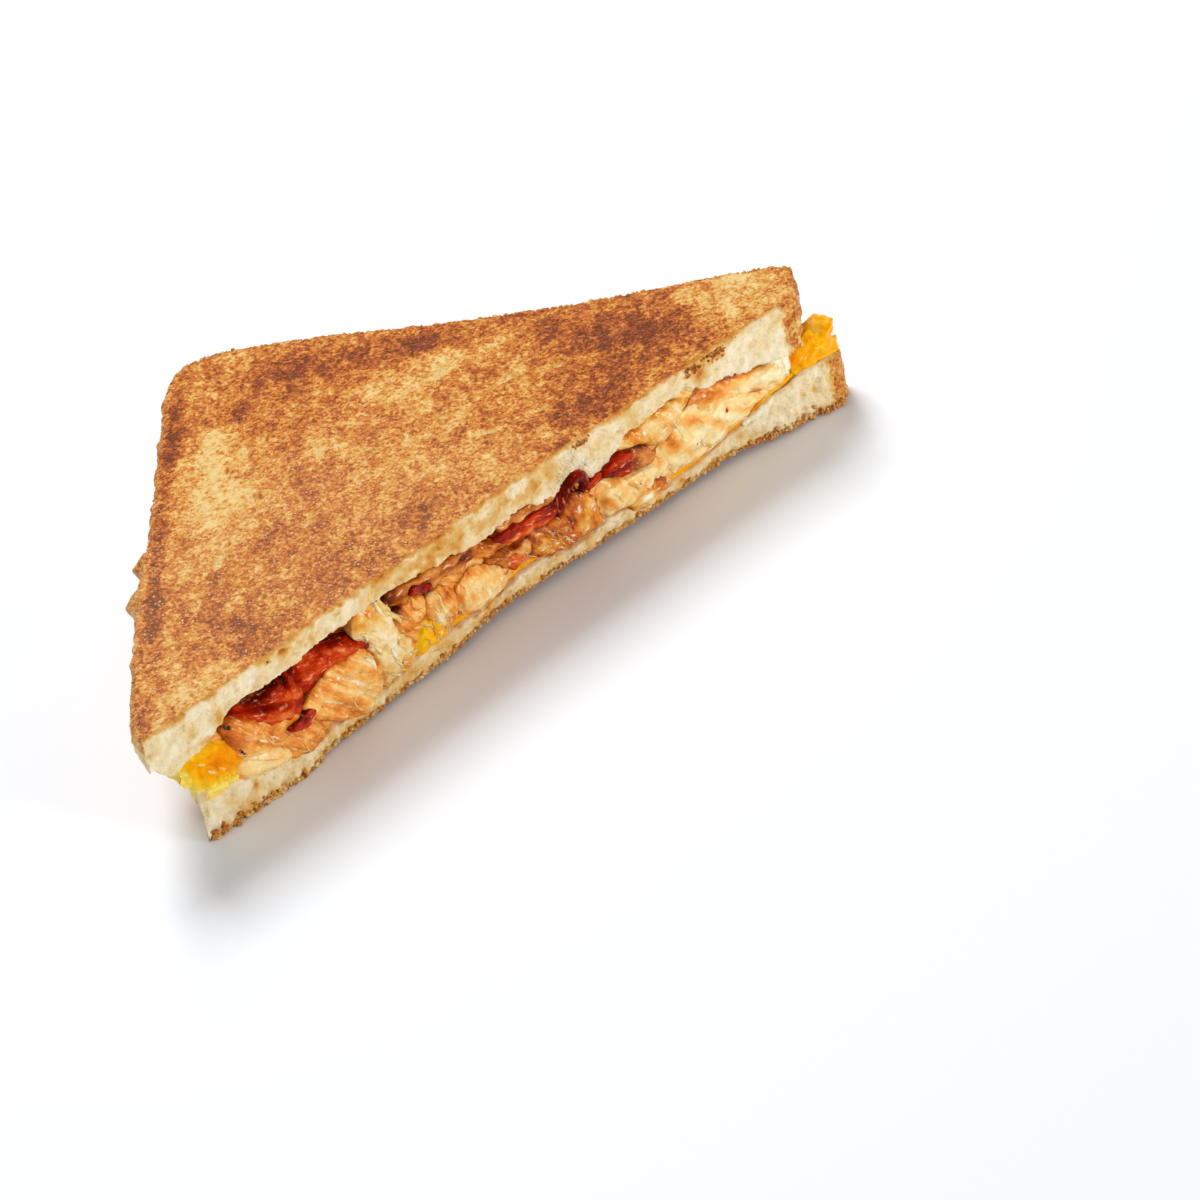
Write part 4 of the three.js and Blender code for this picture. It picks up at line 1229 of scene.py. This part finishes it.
morsel(
    "bacon_right_red",
    [(23.2, 15.2), (24.6, 16.9), (27.4, 17.4), (30.4, 17), (31, 14), (30, 11.9), (27, 12.8),
     (24.6, 14)],
    BACON, ["bacon_right"], recess=-0.4, bulge=1.5, depth=7, lean=-0.2, tone=0.56,
    turn=-15, fibres=0.08, lumps=0.3, ragged=0.5, seed=141,
    # Painted highlight: (27, 16.6) pales the upper part
    patches=[(27, 16.6, 3, 0.6, 0, -0.14), (24.4, 15, 1, 1, 0, 0.25)],
    wet=[(26.4, 15.8, 1, 0.3, 10, 0.9), (28.8, 15.8, 0.8, 0.26, 0, 0.8),
         (27.6, 14, 0.8, 0.22, -10, 0.6)],
)
morsel(
    "bacon_right_brown",
    [(28.6, 17.8), (30.4, 16.8), (31.4, 17.2), (32.4, 15.8), (33.6, 15.6), (34.4, 13.8),
     (35.8, 12.6), (35, 11.2), (32, 11.6), (29.6, 12.2), (29, 14.6)],
    FAT, recess=-0.2, bulge=1.2, depth=6, lean=-0.2, tone=0.6, turn=-35, fibres=0.12,
    lumps=0.35, ragged=0.5, seed=143,
    patches=[(31, 17, 2.4, 0.7, -20, 0.3), (30, 13.4, 1, 1.4, 0, 0.2)],
)
morsel(
    "bacon_link",
    [(19.4, 15.6), (21.4, 16.4), (24, 16.4), (24, 14.8), (21.6, 14.4), (19.6, 14.4)],
    BACON, recess=0.4, bulge=0.9, depth=4, tone=0.5, turn=0, fibres=0.05, lumps=0.2,
    detail=(70, 14, 6), ragged=0.5, seed=145,
)
morsel(
    "chicken_right_low",
    [(20.2, 13.8), (23, 14.4), (26, 13), (30, 12), (36, 12), (39, 9.6), (38, 6.4), (33, 4.6),
     (28, 5), (23, 6.4), (20.8, 9)],
    CHICKEN, ["chicken_5"], recess=0.5, bulge=2.4, tone=0.16, turn=-58, fibres=0.06,
    lumps=0.55, ragged=0.35, feather=True, strands_share=0.25, seed=147,
    patches=[(24, 9, 4, 0.8, -52, 0.5), (27, 12.4, 4, 0.7, -5, 0.35), (31, 8, 1, 2.4, -50, 0.25),
             (36, 10, 1, 2.4, -60, 0.2), (33, 5, 4, 1, 0, 0.3)],
)
morsel(
    "glaze_pool",
    [(28.4, 7), (32, 7.6), (36.6, 7), (38.4, 5.2), (36, 3.4), (32, 2.6), (29, 4.4)],
    MELT, recess=-0.2, bulge=1.6, depth=4, tone=0.66, turn=0, fibres=0.1, lumps=0.6,
    detail=(90, 18, 8), feather=True, seed=149,
    patches=[(32.4, 5.4, 1.4, 0.9, 0, -0.6)],
    wet=[(31, 6.2, 0.9, 0.25, 10, 0.9), (34.6, 5.4, 0.8, 0.25, -10, 0.9)],
)
morsel(
    "chicken_right_mid",
    [(35.2, 8.4), (35.4, 12.6), (38.4, 15.8), (43, 17.6), (50, 15.6), (56, 13), (61.6, 11.4),
     (60, 9.6), (54, 7.2), (47, 5.6), (40, 5)],
    CHICKEN, ["chicken_6"], recess=0.5, bulge=2.6, tone=0.12, turn=-45, fibres=0.06,
    lumps=0.6, ragged=0.35, feather=True, strands_share=0.25, seed=151,
    patches=[(39, 13, 1.4, 3, 20, 0.45), (44, 14.6, 4, 1, -30, 0.45), (50, 10, 5, 0.8, -50, 0.2),
             (56, 10, 4, 0.8, -30, 0.25), (43, 8, 4, 0.7, -50, 0.25), (51.6, 12.4, 0.5, 0.4, 0, 0.7)],
)
morsel(
    "chicken_right_top",
    [(41.4, 14), (43.6, 18), (48.6, 19.6), (53, 19.2), (57, 17.4), (61, 16.2), (65.4, 15.4),
     (66.6, 13), (64, 11.6), (58, 12.6), (50, 15)],
    CHICKEN, ["chicken_7"], recess=0.5, bulge=2.2, tone=0.24, turn=-35, fibres=0.06,
    lumps=0.55, ragged=0.35, feather=True, strands_share=0.25, seed=153,
    # Painted shade: (48.6, 17) and (53, 18.8) darken the upper part under the top slice's crumb
    patches=[(48.6, 17, 4, 1.7, -10, 0.5), (53, 18.8, 6, 1.1, -18, 0.8), (44.6, 15, 2, 1.4, 0, 0.4),
             (62, 14, 4, 1.2, -15, -0.25), (57.8, 16.9, 0.8, 0.5, 0, 0.5)],
)
morsel(
    "pale_sag",
    [(24, 19.4), (29, 20.6), (36, 21.2), (42, 20.8), (43.4, 18), (42.6, 14.6), (37, 12.8),
     (34.4, 15), (31, 17.4), (27, 17.6)],
    MELT, recess=0.9, bulge=2.0, depth=5, tone=0.5, turn=-55, fibres=0.2, lumps=0.25,
    feather=True, ragged=0.6, seed=155,
    patches=[(36, 18, 1, 4, 30, -0.3), (40, 19, 2, 2, 0, -0.1)],
    wet=[(33, 18.4, 0.3, 1.4, 30, 0.8), (37.4, 16.4, 0.9, 0.25, 20, 0.7),
         (39.4, 18.4, 0.25, 1.2, 20, 0.6)],
)
morsel(
    "cheddar_end",
    [(65.8, 14.6), (66.6, 16.6), (68.4, 17.2), (69.6, 16.8), (71.4, 18.1), (71.8, 18), (72.4, 16.6),
     (74, 16.6), (77, 17.5), (77.2, 17.3), (76.2, 15), (75.8, 12.4), (72.6, 11.2), (68.6, 10.6),
     (66.6, 12)],
    CHEDDAR, recess=0.8, bulge=1.4, depth=6, tone=0.6, rim_tone=-0.18, turn=0,
    fibres=0.15, lumps=0.35, feather=True, seed=157,
    patches=[(67.6, 14.6, 1.6, 2, 0, 0.2), (74, 13.6, 2, 1.6, 0, -0.2)],
    wet=[(70, 15.4, 0.9, 0.3, -10, 0.7), (73, 13.6, 0.7, 0.25, 0, 0.7)],
)
morsel(
    "white_blob",
    [(60.6, 15.6), (63.4, 17.4), (66.2, 16.8), (67.2, 13.8), (65.8, 11.8), (63, 12.6), (61.2, 13.6)],
    MELT, recess=0.8, bulge=2.2, depth=4, tone=0.04, rim_tone=0.1, turn=-60,
    fibres=0.25, lumps=0.4, detail=(90, 20, 8), feather=True, seed=159,
)
morsel(
    "white_smear",
    [(55.4, 6.8), (59, 8.4), (62, 9.6), (63, 8.4), (60, 6.6), (57, 5.8)],
    MELT, recess=0.6, bulge=1.6, depth=2.5, tone=0.02, rim_tone=0.1, turn=20,
    fibres=0.2, lumps=0.3, detail=(80, 16, 6), feather=True, seed=169,
)


def bacon_curl():
    """A curled end of bacon, seen from its edge: an arch with a shiny rim."""
    steps = 60
    around = 28
    half_thick = 1.15
    half_deep = 2.2
    spine = spaced(rounded([
        (13.2, 12.6), (13.4, 15.6), (14.6, 18.2), (16.6, 19.4), (18.6, 18.6), (19.6, 16.2),
        (19, 14.6),
    ]), steps)
    mesh, column, row = new_grid("bacon_curl_rim", steps, around)
    angle = 2 * np.pi * row / around
    tangent = np.gradient(spine, axis=0)
    tangent /= np.linalg.norm(tangent, axis=1)[:, None]
    side = np.stack([-tangent[:, 1], tangent[:, 0]], 1)
    taper = np.sin(np.pi * np.clip(column / steps, 0.02, 0.98)) ** 0.4
    flat = spine[column] + side[column] * (half_thick * taper * np.cos(angle))[:, None]
    y = cut_face(flat[:, 0], flat[:, 1]) + 0.6 + half_deep * taper * np.sin(angle)
    set_points(mesh, np.stack([flat[:, 0], y, flat[:, 1]], 1))
    weld(mesh)
    bm = bmesh.new()
    bm.from_mesh(mesh)
    ends = [edge for edge in bm.edges if edge.is_boundary]
    bmesh.ops.holes_fill(bm, edges=ends, sides=0)
    bmesh.ops.recalc_face_normals(bm, faces=bm.faces)
    bm.to_mesh(mesh)
    bm.free()
    points = get_points(mesh)
    points = push_out(mesh, 0.25 * field(points, 2.4, 161, 2) + 0.08 * field(points, 0.9, 163))
    paint_meat(mesh, 0.72 + 0.15 * field(points, 2, 165, 2), points[:, 1], points[:, 0])
    finish_piece(mesh, BACON, ["bacon_curl"])


bacon_curl()
morsel(
    "bacon_curl_inside",
    [(14.6, 14), (15, 17), (16.8, 18.2), (18.6, 17), (19, 14.6), (17, 13.4)],
    BACON, recess=1.4, bulge=0.6, depth=6, tone=0.85, turn=-80, fibres=0.1, lumps=0.3,
    detail=(80, 16, 8), ragged=0.5, seed=167,
)


# Shreds of chicken, melt and torn crumb that lie on the pieces at the cut
def surface_of(names):
    """What a probe from the eye's side of the cut meets, in corner millimetres."""
    points = []
    faces = []
    for name in names:
        mesh = bpy.data.objects[name].data
        start = len(points)
        points += [Vector(point) for point in get_points(mesh) / MM - (CORNER_X, CORNER_Y, 0)]
        faces += [[start + number for number in face.vertices] for face in mesh.polygons]
    return BVHTree.FromPolygons(points, faces)


def depth_at(surface, x, z):
    """The y of the foremost surface at a place on the cut, or None where there is none."""
    in_front = 12
    probe_length = 20
    start = Vector((x, float(cut_face(np.array(x), np.array(z))) - in_front, z))
    place, _, _, _ = surface.ray_cast(start, Vector((0, 1, 0)), probe_length)
    return None if place is None else place.y


def shreds(name, surface, areas, material, seed):
    """Thin strands joined in one mesh. They follow the surface that they lie on.

    An area is its middle, half widths, turn in degrees, number, length, width and two tones.
    """
    rng = random.Random(seed)
    around = 6
    steps = 7
    largest_jump = 1.2
    points = []
    faces = []
    tones = []
    for mid_x, mid_z, half_x, half_z, turn, number, length, width, pale, dark in areas:
        for _ in range(number):
            x = mid_x + rng.uniform(-1, 1) * half_x
            z = mid_z + rng.uniform(-1, 1) * half_z
            angle = math.radians(turn + rng.gauss(0, 11))
            bend = rng.gauss(0, 0.12)
            long = length * rng.uniform(0.6, 1.3)
            thick = width * rng.uniform(0.6, 1.3)
            rise = rng.uniform(-0.1, 0.1)
            path = []
            for step in range(steps + 1):
                share = step / steps - 0.5
                ahead = long * share
                aside = bend * long * share ** 2 * 4
                px = x + math.cos(angle) * ahead - math.sin(angle) * aside
                pz = z + math.sin(angle) * ahead + math.cos(angle) * aside
                py = depth_at(surface, px, pz)
                if py is not None:
                    path.append(Vector((px, py - rise, pz)))
            if len(path) < 4:
                continue
            if max(abs(a.y - b.y) for a, b in zip(path, path[1:])) > largest_jump:
                continue
            start = len(points)
            tone = rng.uniform(pale, dark)
            for step, spot in enumerate(path):
                share = step / (len(path) - 1)
                radius = 0.5 * thick * max(0.12, math.sin(math.pi * share) ** 0.6)
                for k in range(around):
                    turned = 2 * math.pi * k / around
                    cross = Vector((-math.sin(angle), 0, math.cos(angle))) * math.cos(turned)
                    points.append(spot + (cross + Vector((0, 0.7 * math.sin(turned), 0))) * radius)
                    tones.append(tone)
            for step in range(len(path) - 1):
                for k in range(around):
                    near = start + step * around
                    after = (k + 1) % around
                    faces.append([near + k, near + after, near + around + after, near + around + k])
            faces.append([start + k for k in range(around)])
            last = start + (len(path) - 1) * around
            faces.append([last + around - 1 - k for k in range(around)])
    mesh = bpy.data.meshes.new(name)
    mesh.from_pydata(points, [], faces)
    weld(mesh, 0.0001)
    paint(mesh, "toast", tones)
    paint(mesh, "crumb", np.ones(len(tones)))
    x, _, z = get_points(mesh).T
    paint_meat(mesh, tones, z, x)
    return finish_piece(mesh, material)


MEAT_SURFACE = surface_of([
    "chicken_left", "chicken_left_fat", "chicken_strips", "white_melt_run", "yellow_melt",
    "tan_lump_a", "tan_lump_b", "chicken_smooth", "orange_melt_run", "amber_melt_drop",
    "chicken_right_low", "glaze_pool", "chicken_right_mid", "chicken_right_top", "pale_sag",
    "chicken_mass",
])
shreds("chicken_shreds", MEAT_SURFACE, [
    (-56, 11, 6, 4, -42, 5, 6.5, 0.36, 0.25, 0.6), (-50, 8, 6, 4, -46, 5, 6, 0.36, 0.2, 0.6),
    (-38, 9, 7, 5, -48, 12, 7.5, 0.4, 0.25, 0.5), (-22, 14, 4, 4, -60, 10, 4.2, 0.42, 0.2, 0.55),
    (-14, 11, 3, 4, -70, 8, 4.2, 0.4, 0.1, 0.5), (-5, 9, 5, 4, -80, 5, 3, 0.3, 0.2, 0.5),
    (28, 9, 7, 3, -50, 4, 4.2, 0.5, 0.1, 0.4), (46, 11, 9, 4, -48, 4, 4.6, 0.5, 0.1, 0.35),
    (12, 9, 4, 4, -50, 14, 3.2, 0.4, 0.35, 0.85),
], CHICKEN, 21)
shreds("melt_threads", MEAT_SURFACE, [
    (-28, 12, 3.5, 8, -62, 10, 4.2, 0.9, 0.1, 0.35), (-24, 6, 4, 3, -40, 14, 3.0, 0.4, 0.1, 0.5),
    (-16, 8, 3, 3, -70, 12, 3.0, 0.4, 0.1, 0.6),
    (4, 8, 4, 2, -30, 10, 3.0, 0.35, 0.3, 0.8),
    (12, 9, 4, 4, -50, 10, 2.8, 0.22, 0.15, 0.4),
], MELT, 23)
CRUMB_SURFACE = surface_of(["toasted_top_slice", "orange_melt_run", "amber_melt_drop"])
shreds("torn_crumb", CRUMB_SURFACE, [
    (17, 22, 3.4, 3, -60, 40, 2.2, 0.34, 0.0, 0.06), (17, 22, 3.4, 3, -20, 36, 1.8, 0.3, 0.0, 0.06),
    (20, 18, 2.6, 1.8, -40, 36, 1.8, 0.3, 0.0, 0.06), (14, 19.4, 2, 1, 10, 14, 1.6, 0.3, 0.0, 0.06),
], BREAD, 25)


# Loose crumbs, burnt bits and flecks of herb
CRUMB_RISE = 0.6


def crumbs(name, spots, material, values, seed):
    """Small lumps joined in one mesh. A spot is a place and a size in millimetres."""
    rng = random.Random(seed)
    bm = bmesh.new()
    bmesh.ops.create_icosphere(bm, subdivisions=1, radius=1)
    ball = np.array([vertex.co for vertex in bm.verts])
    faces = np.array([[vertex.index for vertex in face.verts] for face in bm.faces])
    bm.free()
    all_points = []
    all_faces = []
    tones = []
    for number, (place, size) in enumerate(spots):
        angle = rng.uniform(0, 6.28)
        turn = Matrix.Rotation(angle, 3, Vector((rng.gauss(0, 1), rng.gauss(0, 1), 1)))
        stretch = np.array([rng.uniform(0.6, 1.3), rng.uniform(0.6, 1.2), rng.uniform(0.5, 0.9)])
        knobs = np.array([rng.uniform(0.75, 1.25) for _ in ball])
        shape = (ball * knobs[:, None] * stretch * size) @ np.array(turn).T
        all_points.append(shape + place)
        all_faces.append(faces + number * len(ball))
        tones += [values(rng)] * len(ball)
    mesh = bpy.data.meshes.new(name)
    points = np.vstack(all_points)
    points[:, 2] = np.clip(points[:, 2], FLOOR_GAP, HEIGHT + CRUMB_RISE)
    mesh.from_pydata(points.tolist(), [], np.vstack(all_faces).tolist())
    paint(mesh, "toast", tones)
    paint(mesh, "tone", tones)
    paint(mesh, "crumb", np.full(len(points), 0.4))
    paint(mesh, "strands", np.zeros(len(points)))
    return finish_piece(mesh, material)


def edge_crumbs():
    """Crumbs along the lower edge of the cut and the upper edge of the uncut sides."""
    low_count = 2600
    high_count = 1500
    rng = random.Random(7)
    low = Layer("low", "bottom", underside, bottom_crumb)
    high = Layer("high", "top", top_crumb, toasted_top)
    spots = []
    for _ in range(low_count):
        column = np.array([rng.randrange(2, low.columns - 2)])
        share = np.array([1 - abs(rng.gauss(0, 0.07))])
        x, y, z = low.cut_place(column, share)[0]
        size = 0.16 + (0.42 if x > -52 else 0.6) * rng.random() ** 2
        spots.append(((x, y - rng.uniform(-0.4, 0.4), z + rng.uniform(-0.2, 0.3)), size))
    for _ in range(high_count):
        column = np.array([rng.randrange(2, high.columns - 2)])
        share = np.array([abs(rng.gauss(0, 0.05))])
        x, y, z = high.side_place(column, share)[0]
        size = (0.12 + 0.4 * rng.random() ** 2) * (1 if x > CORNER_X else 0.5)
        spots.append(((x, y, z - rng.uniform(0, 0.3)), size))
    crumbs("edge_crumbs", spots, BREAD, lambda r: r.uniform(0.2, 0.62), 11)


def burnt_bits():
    """Torn brown bits that hang from the edge of the toasted face at the cut."""
    rng = random.Random(9)
    surface = surface_of(["toasted_top_slice"])
    spots = []
    places = [(51, 2.6, 1.6, 60), (45, 1.8, 1.2, 40), (19, 1.6, 1.0, 24)]
    for middle_x, half_x, drop, number in places:
        for _ in range(number):
            x = middle_x + rng.gauss(0, 0.5) * half_x
            z = HEIGHT - 0.7 - abs(rng.gauss(0, 0.6)) * drop
            size = rng.uniform(0.14, 0.42)
            y = depth_at(surface, x, z)
            if y is not None:
                spots.append(((x, y - 0.2 * size, z), size))
    crumbs("burnt_bits", spots, BREAD, lambda r: r.uniform(0.5, 0.85), 17)


def marks_on_filling(marks, over_gaps):
    """Spots where marks lie on the filling. One over a gap lies on the cut face, or is left out."""
    spots = []
    for x, z, size in marks:
        y = depth_at(MEAT_SURFACE, x, z)
        if y is None and over_gaps:
            y = float(cut_face(np.array(x), np.array(z)))
        if y is not None:
            spots.append(((x, y, z), size))
    return spots


def herb_flecks():
    """Dark flecks of herb and char, and small red specks, that lie on the filling."""
    dark = marks_on_filling([
        (-61, 18.6, 0.5), (-60.5, 18.2, 0.4), (-59.4, 13, 0.28), (-59.1, 12.4, 0.32),
        (-58.8, 11.8, 0.22), (-27.6, 21.8, 0.25), (-34.6, 19.8, 0.3), (-33.9, 19.2, 0.22),
        (-50.6, 24.8, 0.22), (-53.4, 12, 0.14), (-31, 11, 0.12), (36.4, 19.6, 0.14),
    ], over_gaps=True)
    red = marks_on_filling([
        (57.8, 16.9, 0.4), (58.4, 16.6, 0.28), (57.2, 17.2, 0.22), (51.6, 12.4, 0.36),
        (51.3, 12.1, 0.2), (-42.6, 10.4, 0.2), (-30, 13.6, 0.16), (4.6, 9.2, 0.3),
        (44.2, 9.6, 0.2), (30.6, 9.4, 0.18),
    ], over_gaps=False)
    crumbs("herb_flecks", dark, HERB, lambda r: r.uniform(0.2, 1), 13)
    crumbs("red_specks", red, BACON, lambda r: r.uniform(0.36, 0.5), 15)


edge_crumbs()
burnt_bits()
herb_flecks()


# Floor, camera and light
def studio():
    """A pale floor, the photo's camera, and lamps that face the half's middle."""
    floor_half = 3
    floor_mesh = bpy.data.meshes.new("floor")
    bm = bmesh.new()
    bmesh.ops.create_grid(bm, x_segments=1, y_segments=1, size=floor_half)
    bm.to_mesh(floor_mesh)
    bm.free()
    floor = bpy.data.objects.new("floor", floor_mesh)
    bpy.context.scene.collection.objects.link(floor)
    pale = Finish("floor", Base_Color=(0.86, 0.89, 0.93, 1), Roughness=0.6)
    floor_mesh.materials.append(pale.material)

    azimuth = math.radians(-40.203)
    elevation = math.radians(35.573)
    roll = math.radians(-11.242)
    distance = 713.278
    aside = -71.452
    above = 21.671
    back = Vector((
        math.sin(azimuth) * math.cos(elevation), -math.cos(azimuth) * math.cos(elevation),
        math.sin(elevation),
    ))
    level = Vector((math.cos(azimuth), math.sin(azimuth), 0))
    up = back.cross(level)
    right = level * math.cos(roll) + up * math.sin(roll)
    upright = up * math.cos(roll) - level * math.sin(roll)
    place = back * distance - right * aside - upright * above
    place += Vector((CORNER_X, CORNER_Y, 0))
    camera_data = bpy.data.cameras.new("camera")
    camera_data.lens = 120
    camera_data.sensor_width = 36
    camera_data.clip_start = 0.01
    camera = bpy.data.objects.new("camera", camera_data)
    turn = Matrix((right, upright, back)).transposed().to_4x4()
    camera.matrix_world = Matrix.Translation(place * MM) @ turn
    bpy.context.scene.collection.objects.link(camera)
    bpy.context.scene.camera = camera

    # Each lamp's place and size in metres, and its power
    for name, place, size, power in (
        ("key", (0.2, 0.55, 0.95), 0.5, 9.8), ("fill", (-0.8, 0.0, 0.7), 0.8, 1.6),
        ("front", (0.3, -0.94, 0.24), 0.36, 5.0), ("glint", (0.57, 0.91, 0.8), 0.12, 1.2),
    ):
        lamp_data = bpy.data.lights.new(name, "AREA")
        lamp_data.size = size
        lamp_data.energy = power
        lamp = bpy.data.objects.new(name, lamp_data)
        aim = Vector(place).to_track_quat("Z", "Y")
        lamp.matrix_world = Matrix.Translation(Vector(place)) @ aim.to_matrix().to_4x4()
        bpy.context.scene.collection.objects.link(lamp)
    world = bpy.data.worlds.new("studio")
    world.use_nodes = True
    background = world.node_tree.nodes["Background"]
    background.inputs["Color"].default_value = (1, 1, 1, 1)
    background.inputs["Strength"].default_value = 0.3
    bpy.context.scene.world = world
    bpy.context.scene.view_settings.view_transform = "Standard"


studio()
